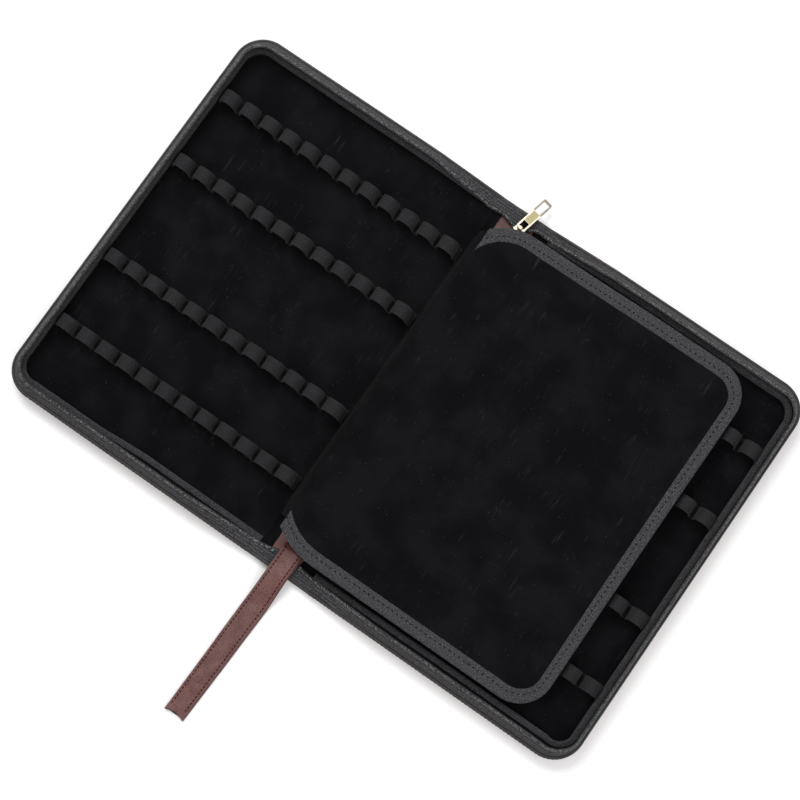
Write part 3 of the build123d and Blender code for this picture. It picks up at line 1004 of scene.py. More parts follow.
@dataclass(frozen=True)
class Cover:
    """Outer leather tub of one half, with its painted edge and its seam."""

    side: Side
    height: float = 12.8
    low: float = 5.2
    start: float = 23.0
    ramp: float = 57.0
    seam_drop: float = 3.6
    seam_pitch: float = 3.4
    stitch: Spot = (2.4, 0.6)

    def top_at(self, x: float) -> float:
        """Height of the wall at a place."""
        return lerp(self.low, self.height, clamp((x - self.start) / self.ramp))

    def build(self) -> list[Piece]:
        """Dresses the leather and adds the edge and the stitches."""
        leather = dress(f"{self.side.word}_cover", BROWN_LEATHER, 0.9)
        return [leather, self.edge(), self.seam()]

    def edge(self) -> Piece:
        """Dark rounded edge on top of the leather wall."""
        profile = ((0.05, -0.7), (-0.12, -0.1), (0.25, 0.4), (0.95, 0.6), (1.7, 0.45), (2.05, 0.0), (1.6, -0.7))

        def section(station: Station) -> Ring:
            """The edge's ring here."""
            top = self.top_at(station.x) + wobble(station.x, station.y, 30, 0.12, 3.0)
            return [(inset, top + rise, inset) for inset, rise in profile]

        rim = Rim(start=self.start + 0.2, low_x=self.start)
        return swept("leather_edge", EDGE_LEATHER, 42.0, self.side, rim.stations(), section)

    def seam(self) -> Piece:
        """Stitches that hold the zip tape, on the wall's outer face."""
        rim = Rim(start=self.start + 2, low_x=self.start)
        pot = MeshPot()
        for index in range(int(rim.length / self.seam_pitch)):
            station = rim.at((index + 0.5) * self.seam_pitch)
            drop = self.seam_drop * (0.45 + 0.55 * station.rise)
            spot = Vector(rim_point(self.side, station, -0.02, self.top_at(station.x) - drop))
            out = Vector((-self.side.value * station.inward[0], -station.inward[1], 0))
            pot.stitch(spot, out.cross(UP), out, *self.stitch)
        return settle(pot.build(f"{self.side.word}_seam_stitches", BROWN_THREAD), self.side.body)


@dataclass(frozen=True)
class ZipRun:
    """Zip tape and coil round three sides of one half.

    The free edge's insets are those at the outer, top and bottom side, and at the spine's top and bottom end.
    """

    side: Side
    rim: Rim = Rim()
    wall: float = 1.4
    thickness: float = 0.8
    low: float = 5.0
    bend_height: float = 12.2
    edge_height: float = 19.25
    leg: float = 3.4
    end_leg: float = 1.0
    seat: float = 1.35
    right_insets: Point = (4.8, 8.8, 9.2)
    left_insets: Point = (7.0, 8.8, 9.2)
    right_ends: Spot = (9.6, 11.4)
    left_ends: Spot = (13.0, 11.4)

    def free_inset(self, station: Station) -> float:
        """Inset of the tape's free edge here: it stands steeper at the right side, flatter at the ends."""
        right = self.side is Side.RIGHT
        top_end, bottom_end = self.right_ends if right else self.left_ends
        full = station.inset(*(self.right_insets if right else self.left_insets))
        return lerp(top_end if station.top else bottom_end, full, station.rise) + self.sway(station)

    def sway(self, station: Station) -> float:
        """How far the tape's free edge strays inwards here."""
        seed = 10.0 + self.side.value
        full = wobble(station.along, 0, 26, 0.45, seed) + wobble(station.along, 0, 8, 0.15, seed)
        return full * station.rise

    def corners(self, station: Station) -> tuple[Spot, Spot, Spot]:
        """Foot, bend and free edge of the tape's middle line here."""
        rise = station.rise
        line = self.wall + self.thickness / 2
        bend = (line, lerp(self.low, self.bend_height, rise))
        foot = (line, bend[1] - lerp(self.end_leg, self.leg, rise))
        edge = (self.free_inset(station), lerp(self.low, self.edge_height, rise))
        return foot, bend, edge

    def section(self, station: Station) -> Ring:
        """The tape's ring here, slightly bowed between its bend and its edge."""
        foot, bend, edge = self.corners(station)
        run, rise = edge[0] - bend[0], edge[1] - bend[1]
        size = math.hypot(run, rise)
        line = [foot, (foot[0], lerp(foot[1], bend[1], 0.75))]
        for share in (0.06, 0.2, 0.4, 0.6, 0.8, 1.0):
            bow = 0.35 * math.sin(math.pi * share) * station.rise
            spot = (lerp(bend[0], edge[0], share), lerp(bend[1], edge[1], share))
            line.append((spot[0] - rise / size * bow, spot[1] + run / size * bow))
        return ribbon(line, self.thickness)

    def seat_at(self, along: float) -> CoilSeat:
        """Seat of the coil at a distance along the rim."""
        station = self.rim.at(along)
        _, bend, edge = self.corners(station)
        run, rise = edge[0] - bend[0], edge[1] - bend[1]
        size = math.hypot(run, rise)
        slope = (run / size, rise / size)
        normal = (-slope[1], slope[0])
        half = self.thickness / 2
        inset, height = [edge[part] - slope[part] * self.seat + normal[part] * half for part in (0, 1)]
        inward = Vector((self.side.value * station.inward[0], station.inward[1], 0))
        return CoilSeat(
            origin=Vector(rim_point(self.side, station, inset, height)),
            run=inward.cross(UP).normalized(),
            across=(inward * slope[0] + UP * slope[1]).normalized(),
            normal=(inward * normal[0] + UP * normal[1]).normalized(),
        )

    def build(self) -> list[Piece]:
        """Makes the tape and the coil."""
        tape = swept("woven_tape", TAPE, 42.0, self.side, self.rim.stations(4.0), self.section)
        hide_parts(f"{self.side.word}_zip_tape")
        pot = MeshPot()
        wind_coil(pot, self.seat_at, self.rim.length)
        coil = pot.build(f"{self.side.word}_coil_turns", COIL_NYLON, 60.0)
        return [tape, settle(coil, self.side.body, f"{self.side.word}_zip_coil")]


@dataclass(frozen=True)
class PaddedWall:
    """Velvet-covered padded wall of one half, with a grey binding on its inner edge."""

    side: Side
    rim: Rim = Rim(low_x=23.0)
    bound_rim: Rim = Rim(start=24.0, low_x=23.0)
    back: float = 2.3
    floor: float = 3.2
    low: float = 3.8
    high: float = 11.8
    right_insets: Point = (9.0, 11.5, 15.2)
    left_insets: Spot = (7.4, 10.8)
    left_bottom: Spot = (15.2, 12.8)
    left_narrows: Spot = (125.0, 175.0)

    def front(self, station: Station) -> float:
        """Inset of the wall's inner face here."""
        insets = self.right_insets
        if self.side is Side.LEFT:
            insets = (*self.left_insets, lerp(*self.left_bottom, ease(station.x, *self.left_narrows)))
        return station.inset(*insets) + wobble(station.x, station.y, 22, 0.25, 5.0)

    def top(self, station: Station) -> float:
        """Height of the wall here."""
        return lerp(self.low, self.high, station.rise)

    def pad_section(self, station: Station) -> Ring:
        """Crowned ring of the padding here."""
        front, top = self.front(station), self.top(station)
        width = front - self.back
        tall = max(0.45, top - self.floor)
        crown = min(0.35, tall * 0.1)
        bulge = min(0.5, tall * 0.08)
        ring = [
            (self.back, self.floor),
            (self.back, self.floor + tall * 0.6),
            (self.back + width * 0.06, top - tall * 0.06),
            (self.back + width * 0.3, top + crown * 0.3),
            (self.back + width * 0.6, top + crown),
            (front - width * 0.12, top + crown * 0.2),
            (front - width * 0.01, top - tall * 0.14),
            (front + bulge * 0.7, top - tall * 0.35),
            (front + bulge, top - tall * 0.6),
            (front + bulge * 0.5, self.floor + tall * 0.12),
            (front - 0.2, self.floor),
        ]
        return [(inset, height, inset) for inset, height in ring]

    def binding_section(self, station: Station) -> Ring:
        """Ring of the binding folded over the wall's inner edge."""
        front, top = self.front(station), self.top(station)
        lift = wobble(station.x, station.y, 14, 0.1, 8.0)
        line = [
            (front - 3.7, top + 0.42 + lift),
            (front - 2.4, top + 0.62 + lift),
            (front - 0.8, top + 0.5 + lift),
            (front + 0.05, top + 0.02 + lift),
            (front + 0.4, max(top - 0.8, self.floor)),
            (front + 0.55, max(top - 1.8, self.floor - 0.1)),
            (front + 0.6, max(top - 2.6, self.floor - 0.2)),
        ]
        return ribbon(line, 0.55)

    def build(self) -> list[Piece]:
        """Makes the padding and its binding."""
        pad = swept("padded_wall", BLACK_VELVET, 75.0, self.side, self.rim.stations(), self.pad_section)
        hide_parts(f"{self.side.word}_wall_pad")
        stations = self.bound_rim.stations()
        binding = swept("wall_binding", WALL_BINDING, 60.0, self.side, stations, self.binding_section)
        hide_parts(f"{self.side.word}_pad_binding")
        return [pad, binding]


@dataclass(frozen=True)
class FloorVelvet:
    """Velvet lining on one half's board."""

    side: Side
    start: float = 23.0
    edge: float = 251.0
    half_length: float = 162.0
    corner: float = 21.0
    under: float = 2.6
    over: float = 3.3
    band_lines: tuple[float, ...] = (108.5, 47.5, -41.5, -102.5)
    held: Spot = (6.5, 20.0)
    puff: float = 0.55
    columns: int = 52

    def reach(self, y: float) -> float:
        """Outer end of the sheet at a place along the spine."""
        past = max(0.0, abs(y) - (self.half_length - self.corner))
        return self.edge - self.corner + math.sqrt(max(0.0, self.corner**2 - past**2))

    def height(self, x: float, y: float) -> float:
        """Top of the pile: it swells a little where no band holds it down."""
        free = min(abs(y - line) for line in self.band_lines)
        edge = min(x - self.start, self.reach(y) - 9 - x)
        swell = ease(free, *self.held) * ease(edge, 0.0, 14.0)
        return self.over - 0.08 + swell * (self.puff * 0.6 + wobble(x, y, 24, self.puff, 2.0))

    def build(self) -> list[Piece]:
        """Makes the sheet."""
        grid = []
        for y in spaced(-self.half_length, self.half_length, 4.5):
            xs = [lerp(self.start, self.reach(y), step / self.columns) for step in range(self.columns + 1)]
            grid.append([(self.side.value * x, y, self.height(x, y), self.under) for x in xs])
        made = laid(f"{self.side.word}_floor_velvet", BLACK_VELVET, grid)
        settle(made, self.side.body, f"{self.side.word}_lining")
        return [made]


@dataclass(frozen=True)
class LoopBand:
    """One elastic band, sewn down between its twelve pen loops."""

    side: Side
    node: str
    y: float
    seed: int
    count: int = 12
    first: float = 236.6
    pitch: float = 18.25
    radius: float = 7.0
    width: float = 11.0
    thickness: float = 0.95
    floor: float = 3.82
    crown: float = 9.8
    inner_end: float = 25.6
    outer_end: float = 244.95
    left_extra: float = 2.2
    tack: Spot = (1.5, 0.42)
    tack_gap: float = 2.1

    def path(self) -> list[tuple[float, float, float]]:
        """Middle line of the ribbon: X, height and sideways shift of each point."""
        chance = random.Random(self.seed)
        outer_end = self.outer_end + (self.left_extra if self.side is Side.LEFT else 0.0)
        line = [(outer_end, self.floor, 0.0), (self.first + self.radius + 0.75, self.floor, 0.0)]
        for index in range(self.count):
            centre = self.first - index * self.pitch
            lean = chance.uniform(-0.45, 0.45)
            high = chance.uniform(-0.3, 0.35)
            slip = chance.uniform(-0.35, 0.35)
            pinch = chance.uniform(-0.25, 0.1)
            foot = ((0.3, 0.22, 0.2), (0.02, 0.85, 0.3), (pinch * 0.3, 3.2, 0.6))
            line += [(centre + self.radius + out, self.floor + up, slip * share) for out, up, share in foot]
            for step in range(11):
                angle = math.pi * step / 10
                reach = (self.radius + pinch) * math.cos(angle)
                lift = math.sin(angle)
                height = self.crown + (self.radius + high) * lift
                line.append((centre + reach + lean * lift, height, slip))
            line += [(centre - self.radius - out, self.floor + up, slip * share) for out, up, share in foot[::-1]]
            if index < self.count - 1:
                gap = centre - self.pitch / 2
                line += [(gap + 0.85, self.floor, 0.0), (gap, self.floor - 0.06, 0.0), (gap - 0.85, self.floor, 0.0)]
        line += [(centre - self.radius - 0.8, self.floor, 0.0), (self.inner_end, self.floor, 0.0)]
        return line

    def ribbon(self) -> Piece:
        """The elastic itself."""
        line = self.path()
        half, wide = self.thickness / 2, self.width / 2
        profile = (
            (-wide, 0.0), (-wide + 0.18, half), (-wide / 2, half), (0, half), (wide / 2, half), (wide - 0.18, half),
            (wide, 0.0), (wide - 0.18, -half), (0, -half), (-wide + 0.18, -half),
        )
        rows, lays = [], []
        along = 0.0
        for index, (x, z, slip) in enumerate(line):
            before, after = line[max(0, index - 1)], line[min(len(line) - 1, index + 1)]
            run, rise = after[0] - before[0], after[1] - before[1]
            size = math.hypot(run, rise)
            normal = (rise / size, -run / size)
            if index:
                along += math.dist(line[index - 1][:2], (x, z))
            row = [(x + normal[0] * out, self.y + slip + span, z + normal[1] * out) for span, out in profile]
            rows.append([(self.side.value * spot[0], *spot[1:]) for spot in row])
            lays.append([(along, span + wide) for span, _ in profile])
        return skinned(f"{self.node}_elastic", ELASTIC, 50.0, rows, lays)

    def tacks(self) -> Piece:
        """Short stitches across the band between two loops."""
        pot = MeshPot()
        lines = [self.first + self.pitch / 2 - index * self.pitch for index in range(1, self.count)]
        lines += [self.inner_end + 1.2]
        for x in lines:
            for step in range(-2, 3):
                y = self.y + step * self.tack_gap
                spot = Vector((self.side.value * x, y, self.floor + self.thickness / 2 - 0.06))
                pot.stitch(spot, Vector((0, 1, 0)), UP, *self.tack)
        return pot.build(f"{self.node}_tacks", BLACK_THREAD)

    def build(self) -> list[Piece]:
        """Makes the band and its stitches."""
        band, tacks = self.ribbon(), self.tacks()
        return [settle(band, self.side.body, self.node), settle(tacks, self.side.body)]


@dataclass(frozen=True)
class FoldStrip:
    """Cover leather and lining where one half bends against the spine."""

    side: Side
    outer: float = 23.0
    inner: float = 16.5
    half_length: float = 163.4

    def join(self, piece: Piece) -> Piece:
        """Bakes a piece's placement into its mesh."""
        if self.side is Side.RIGHT:
            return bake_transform(piece)
        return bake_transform(piece)

    def layer(self, name: str, finish: Finish, line: Sequence[Point], shorter: float) -> Piece:
        """One layer of the strip.

        Args:
            name: last part of the piece's name.
            finish: its finish.
            line: X, top and underside across the strip.
            shorter: how far each end stays inside the leather's.

        Returns:
            The new piece.
        """
        reach = self.half_length - shorter
        grid = [
            [(self.side.value * x, y, high + wobble(x, y, 9, 0.1, 4.0), low) for x, high, low in line]
            for y in spaced(-reach, reach, 5.0)
        ]
        return self.join(laid(f"{self.side.word}_{name}", finish, grid))

    def build(self) -> list[Piece]:
        """Makes the leather and the lining over it."""
        xs = spaced(self.outer + 0.05, self.inner - 0.05, 0.9)
        leather = self.layer("fold_hide", BROWN_LEATHER, [(x, 1.15, 0.0) for x in xs], 0.0)
        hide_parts(f"{self.side.word}_fold_leather")
        spread = [lerp(self.outer + 0.1, self.inner - 0.2, index / 8) for index in range(9)]
        heights = (3.15, 2.7, 2.2, 1.9, 1.75, 1.75, 1.85, 2.05, 2.2)
        lining = self.layer("fold_lining", SPINE_LEATHER, [(x, z, 1.2) for x, z in zip(spread, heights)], 4.2)
        hem = [(x, z + 0.45, z) for x, z in zip(spread, heights)]
        velvet = self.layer("fold_velvet", BLACK_VELVET, hem, 4.3)
        return [leather, lining, velvet]


@dataclass(frozen=True)
class SpinePanel:
    """Leather, board and lining between the two folds, with the halves' velvet turned onto its sides."""

    half_length: float = 159.0
    floor: float = 2.2
    outer: float = 16.6
    right_inner: float = 10.6
    left_inner: Spot = (14.4, 16.2)
    left_widens: Spot = (-150.0, -60.0)

    def inner(self, side: Side, y: float) -> float:
        """How near to the spine's middle the velvet comes."""
        return self.right_inner if side is Side.RIGHT else lerp(*self.left_inner, ease(y, *self.left_widens))

    def velvet(self, side: Side) -> Piece:
        """Velvet strip along one side of the spine."""
        grid = []
        for y in spaced(-self.half_length, self.half_length, 5.0):
            near = self.inner(side, y) + wobble(side.value, y, 19, 0.2, 14.0)
            xs = [lerp(near, self.outer, step / 5) for step in range(6)]
            heights = [self.floor + 0.4 * min(1.0, step / 1.5) + 0.02 for step in range(6)]
            grid.append([(side.value * x, y, z, self.floor - 0.05) for x, z in zip(xs, heights)])
        return settle(laid(f"{side.word}_spine_velvet", BLACK_VELVET, grid), "spine")

    def build(self) -> list[Piece]:
        """Dresses the spine's CAD nodes and adds the velvet."""
        return [
            dress("spine_leather", BROWN_LEATHER, 0.35),
            dress("spine_board", BOARD),
            dress("spine_lining", SPINE_LEATHER, 0.12),
            *[self.velvet(side) for side in Side],
        ]


@dataclass(frozen=True)
class EndZip:
    """Zip tape and coils across one end of the spine.

    The marks are the free edge's distances from the spine's middle: at the half, the fold, and the slider or strap.
    """

    end: End
    tape_edge: float = 163.5
    height: float = 5.0
    thickness: float = 0.8
    fold_x: float = 16.5
    half_x: float = 27.15
    neck_x: float = 4.0
    seat: float = 1.35
    slider_gap: float = 6.2
    strap_gap: float = 13.4
    face: float = 164.0
    top_right_marks: Point = (155.4, 156.2, 151.0)
    top_left_marks: Point = (152.0, 153.0, 149.2)
    bottom_marks: Point = (153.6, 152.4, 148.4)

    def marks(self, x: float) -> Point:
        """The marks that hold at a place across the spine."""
        if self.end is End.BOTTOM:
            return self.bottom_marks
        return self.top_right_marks if x > 0 else self.top_left_marks

    def free_edge(self, x: float) -> float:
        """Distance of the tape's free edge from the middle of the spine."""
        away = abs(x)
        half_y, fold_y, neck_y = self.marks(x)
        if away >= self.fold_x:
            return lerp(fold_y, half_y, (away - self.fold_x) / (self.half_x - self.fold_x))
        drawn = clamp((self.fold_x - away) / (self.fold_x - self.neck_x))
        return lerp(fold_y, neck_y, drawn ** (1.25 if x < 0 else 2.2))

    def lift(self, x: float, share: float) -> float:
        """How far the tape ripples here, from its sewn edge at share 0."""
        ripple = wobble(x, self.end.value * 40 * share, 9, 0.3, 6.0) * share
        return ripple * ease(abs(x), 2.0, 9.0) * (1 - ease(abs(x), 22.0, self.half_x))

    def tape(self, name: str, low_x: float, high_x: float) -> Piece:
        """Tape between two places across the spine.

        Args:
            name: the piece's name.
            low_x: where it begins.
            high_x: where it ends.

        Returns:
            The new piece, riding on nothing yet.
        """
        rows, lays = [], []
        half = self.thickness / 2
        shares = (0.0, 0.2, 0.4, 0.6, 0.8, 1.0)
        for x in spaced(low_x, high_x, 1.2):
            free = self.free_edge(x)
            front = [(lerp(self.tape_edge, free, share), self.lift(x, share)) for share in shares]
            ring = [(y, self.height + half + lift) for y, lift in front]
            ring.append((free - half * 0.6, self.height + front[-1][1]))
            ring += [(y, self.height - half + lift) for y, lift in reversed(front)]
            rows.append([(x, self.end.value * y, z) for y, z in ring])
            lays.append([(x, 1.0 + self.tape_edge - y) for y, _ in ring])
        return skinned(name, TAPE, 50.0, rows, lays)

    def coil(self, name: str, spans: Sequence[Spot]) -> Piece:
        """Coil along the tape's free edge.

        Args:
            name: the piece's name.
            spans: first and last X of each length of coil.

        Returns:
            The new piece, riding on nothing yet.
        """
        pot = MeshPot()
        for low_x, high_x in spans:
            length = abs(high_x - low_x)

            def seat_at(along: float, low_x: float = low_x, high_x: float = high_x, length: float = length) -> CoilSeat:
                """Seat of the coil at a distance along this length of it."""
                x = lerp(low_x, high_x, along / length)
                slope = (self.free_edge(x + 0.5) - self.free_edge(x - 0.5)) * self.end.value
                run = Vector((1.0, slope, 0.0)).normalized()
                y = self.end.value * (self.free_edge(x) + self.seat)
                top = self.height + self.thickness / 2 + self.lift(x, 0.9)
                return CoilSeat(Vector((x, y, top)), run, UP.cross(run) * -self.end.value, UP)

            wind_coil(pot, seat_at, length)
        return pot.build(name, COIL_NYLON, 60.0)

    def leather_edge(self, name: str, low_x: float, high_x: float) -> Piece:
        """Dark edge of the leather beyond the tape.

        Args:
            name: the piece's name.
            low_x: where it begins.
            high_x: where it ends.

        Returns:
            The new piece, riding on nothing yet.
        """
        ring = [(163.2, 0.5), (164.9, 0.6), (165.05, 1.4), (165.05, 4.7), (164.8, 5.2)]
        ring += [(164.2, 5.42), (163.4, 5.42), (162.9, 5.1)]
        rows = []
        for x in spaced(low_x, high_x, 1.5):
            sway = wobble(x, self.end.value * 50, 12, 0.12, 13.0)
            rows.append([(x, self.end.value * (y + sway * (y > self.face)), z) for y, z in ring])
        return skinned(name, EDGE_LEATHER, 60.0, rows)

    def build(self) -> list[Piece]:
        """Makes the spine's own lengths and the ones that lie across the folds."""
        word, fold = self.end.word, self.fold_x
        clear = self.slider_gap if self.end is End.TOP else self.strap_gap
        spans = ((-fold, -clear), (clear, fold))
        made = [
            settle(self.tape(f"{word}_end_tape", -fold, fold), "spine", f"spine_{word}_tape"),
            settle(self.coil(f"{word}_end_coils", spans), "spine", f"spine_{word}_coils"),
            settle(self.leather_edge(f"{word}_end_edge", -fold, fold), "spine"),
        ]
        for side in Side:
            name, strip = f"{side.word}_{word}_fold", FoldStrip(side)
            edge = self.leather_edge(f"{name}_edge", side.value * strip.inner, side.value * (strip.outer + 0.3))
            made.append(strip.join(edge))
            inner, outer = side.value * (fold - 0.1), side.value * (self.half_x + 0.2)
            strip = FoldStrip(side, outer=self.half_x, inner=fold)
            made.append(strip.join(self.tape(f"{name}_tape", inner, outer)))
            made.append(strip.join(self.coil(f"{name}_coil", ((inner, outer),))))
        return made


@dataclass(frozen=True)
class ZipSlider:
    """Slider, bridge, pull tab and stops, in pale brass."""

    def build(self) -> list[Piece]:
        """Dresses the metal."""
        return [
            # The slider's and the bridge's finishes carry painted shade under the pull's slot.
            dress("zip_slider", SLIDER_BRASS, 0.12),
            dress("slider_bridge", BRIDGE_BRASS, 0.2),
            dress("pull_tab", PULL_BRASS, 0.28),
            dress("zip_end_stop", DARK_BRASS, 0.2),
            dress("zip_top_stops", COIL_NYLON, 0.25),
        ]


@dataclass(frozen=True)
class Leaf:
    """Stiff leaf: board between two velvets, with a stitched binding.

    Each hinge corner is its radius and how far its centre lies from the hinge.
    """

    left: float = -16.3
    right: float = 211.9
    top: float = 148.8
    bottom: float = -147.0
    corner: float = 27.0
    top_hinge: Spot = (45.0, 32.1)
    bottom_hinge: Spot = (60.0, 34.3)
    hinge_run: Spot = (-135.6, 134.8)
    side_share: float = 0.88
    under: float = 18.6
    middle: float = 20.0
    over: float = 21.4
    waist: float = 0.4
    tilt: float = 1.2
    stitch_inset: float = 6.8
    stitch_pitch: float = 4.2
    stitch: Spot = (1.5, 0.95)
    columns: int = 66
    bowed: float = 0.955

    def drawn(self, x: float, y: float) -> Spot:
        """Place of a point once the leaf is pulled a little out of true."""
        waist = self.waist * (1 - min(1.0, (y / 118.0) ** 2)) * ease(x, 60.0, self.right)
        return x - waist, y + self.tilt * ease(x, 40.0, 140.0) * ease(y, 60.0, self.top)

    def outline(self, inset: float) -> list[Spot]:
        """Edge of the leaf from the hinge's top end round to its bottom end.

        Args:
            inset: distance inside the edge.

        Returns:
            As many points, in the same order, for every inset.
        """
        beside = inset * self.side_share
        edge, outer = self.right - self.corner, self.right - beside
        small = (self.corner - beside, self.corner - inset)
        high, low = self.top - self.corner, self.bottom + self.corner
        first, last = self.top_hinge[0] - inset, self.bottom_hinge[0] - inset
        first_middle = (self.left + self.top_hinge[1], self.top - self.top_hinge[0])
        last_middle = (self.left + self.bottom_hinge[1], self.bottom + self.bottom_hinge[0])
        points = arc(first_middle, (first, first), math.pi - math.acos(self.top_hinge[1] / first), RIGHT_ANGLE)
        points += between((first_middle[0], self.top - inset), (edge, self.top - inset), 24)
        points += arc((edge, high), small, RIGHT_ANGLE, 0.0)
        points += between((outer, high), (outer, low), 36)
        points += arc((edge, low), small, 0.0, -RIGHT_ANGLE)
        points += between((edge, self.bottom + inset), (last_middle[0], self.bottom + inset), 24)
        points += arc(last_middle, (last, last), -RIGHT_ANGLE, math.acos(self.bottom_hinge[1] / last) - math.pi)
        return [self.drawn(*point) for point in points]

    def sides(self, y: float, inset: float) -> Spot:
        """Left and right end of a cut across the leaf, inside its edge."""
        radius, reach = self.top_hinge if y > 0 else self.bottom_hinge
        beyond = y - self.top if y > 0 else self.bottom - y
        above = max(0.0, beyond + radius)
        left = self.left + reach - math.sqrt(max(0.0, (radius - inset) ** 2 - above**2))
        past = max(0.0, beyond + self.corner) / (self.corner - inset)
        small = self.corner - inset * self.side_share
        return max(left, self.left), self.right - self.corner + small * math.sqrt(max(0.0, 1 - past**2))

    def warp(self, x: float, y: float) -> float:
        """Slight unevenness of the stiff leaf."""
        return 0.22 + wobble(x, y, 90, 0.3, 1.0)

    def crease(self, x: float, y: float) -> float:
        """Soft crease beside the hinge."""
        line = -5.4 - 2.6 * math.exp(-(((y + 112) / 22) ** 2))
        fade = ease(y, -139.0, -118.0) * (1 - ease(y, 128.0, 142.0))
        return -0.3 * math.exp(-(((x - line) / 1.1) ** 2)) * fade

    def bound_edge(self) -> Piece:
        """Ribbon folded over the edge, with a soft roll at its rim."""
        top, middle, low = self.over, self.middle, self.under
        ring = (
            (11.0, top - 0.28), (10.7, top - 0.02), (9.4, top + 0.1), (7.6, top + 0.06), (6.8, top - 0.1),
            (6.0, top + 0.08), (2.6, top + 0.16), (1.0, top - 0.05), (0.15, top - 0.7), (0.0, middle),
            (0.15, low + 0.7), (1.0, low + 0.1), (5.4, low), (11.0, low + 0.05), (11.0, low + 0.4),
            (1.6, low + 0.45), (0.8, middle), (1.6, top - 0.45),
        )
        edges = [self.outline(inset) for inset, _ in ring]
        outer = edges[9]
        rows, lays = [], []
        along = 0.0
        for index, place in enumerate(outer):
            if index:
                along += math.dist(outer[index - 1], place)
            row = []
            for edge, (_, height) in zip(edges, ring):
                spot = edge[index]
                loose = wobble(*spot, 11, 0.09, 7.0) if height > middle else 0.0
                row.append((*spot, height + self.warp(*spot) * (0.4 if height < middle else 1.0) + loose))
            rows.append(row)
            lays.append([(along, inset if height > middle else -inset) for inset, height in ring])
        return skinned("leaf_bound_edge", BINDING, 65.0, rows, lays)

    def stitches(self) -> Piece:
        """Row of short sunk stitches along the binding."""
        line = self.outline(self.stitch_inset)
        pot = MeshPot()
        left_over = self.stitch_pitch
        for here, after in zip(line, line[1:]):
            size = math.dist(here, after)
            run = Vector((after[0] - here[0], after[1] - here[1], 0))
            while left_over < size:
                x, y = [lerp(near, far, left_over / size) for near, far in zip(here, after)]
                pot.stitch(Vector((x, y, self.over - 0.1 + self.warp(x, y))), run, UP, *self.stitch)
                left_over += self.stitch_pitch
            left_over -= size
        return pot.build("leaf_stitches", BLACK_THREAD)

    def layer(
        self, name: str, finish: Finish, heights: Spot, lifts: Spot, inset: float, creased: bool = False
    ) -> Piece:
        """One flat layer of the leaf.

        Args:
            name: the piece's name.
            finish: its finish.
            heights: its underside and its top.
            lifts: how much of the leaf's unevenness each of them takes.
            inset: distance inside the leaf's edge.
            creased: whether the crease beside the hinge shows on it.

        Returns:
            The new piece.
        """
        grid = []
        shares = [step / self.columns for step in range(self.columns + 1)]
        for y in spaced(self.bottom + inset, self.top - inset, 4.0):
            left, right = self.sides(y, inset)
            row = []
            for share in shares:
                x = left + (right - left) * (0.35 * share + 0.65 * share * share)
                spot = self.drawn(x, y)
                low, high = [height + self.warp(*spot) * lift for height, lift in zip(heights, lifts)]
                row.append((*spot, high + self.crease(*spot) * creased, low))
            grid.append(row)
        return laid(name, finish, grid)

    def hinge_roll(self) -> Piece:
        """Velvet turned down over the leaf's hinge side."""
        low, high = self.hinge_run
        profile = (
            (1.9, 21.02), (0.6, 21.12), (-0.35, 20.85), (-0.75, 20.0), (-0.7, 19.1), (-0.3, 18.35), (0.4, 18.1),
            (1.4, 18.3), (1.9, 18.7), (0.9, 18.9), (0.35, 19.6), (0.5, 20.5), (1.9, 20.7),
        )
        rows = []
        for y in spaced(low, high, 4.0):
            fade = 0.4 + 0.6 * ease(min(high - y, y - low), 0.0, 5.0)
            sway = wobble(0, y, 17, 0.15, 9.0)
            rows.append([(self.left + x * fade + sway, y, z + self.warp(self.left, y) * 0.9) for x, z in profile])
        return skinned("leaf_hinge_roll", BLACK_VELVET, 75.0, rows)

    def build(self) -> list[Piece]:
        """Makes the board, the binding, its stitches and both velvets."""
        board = self.layer("leaf_pressed_board", BOARD, (19.45, 20.55), (0.4, 1.0), 1.9)
        upper = self.layer("leaf_upper_cloth", BLACK_VELVET, (20.6, 21.05), (1.0, 1.0), 1.7, True)
        lower = self.layer("leaf_lower_cloth", BLACK_VELVET, (19.0, 19.4), (0.4, 0.4), 1.7)
        bound = self.bound_edge()
        made = [board, upper, lower, bound, self.stitches(), self.hinge_roll()]
        for piece in made:
            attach(piece, "leaf")
            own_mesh(piece)
        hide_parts("leaf_board")
        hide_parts("leaf_binding")
        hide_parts("leaf_upper_velvet")
        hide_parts("leaf_lower_velvet")
        return made


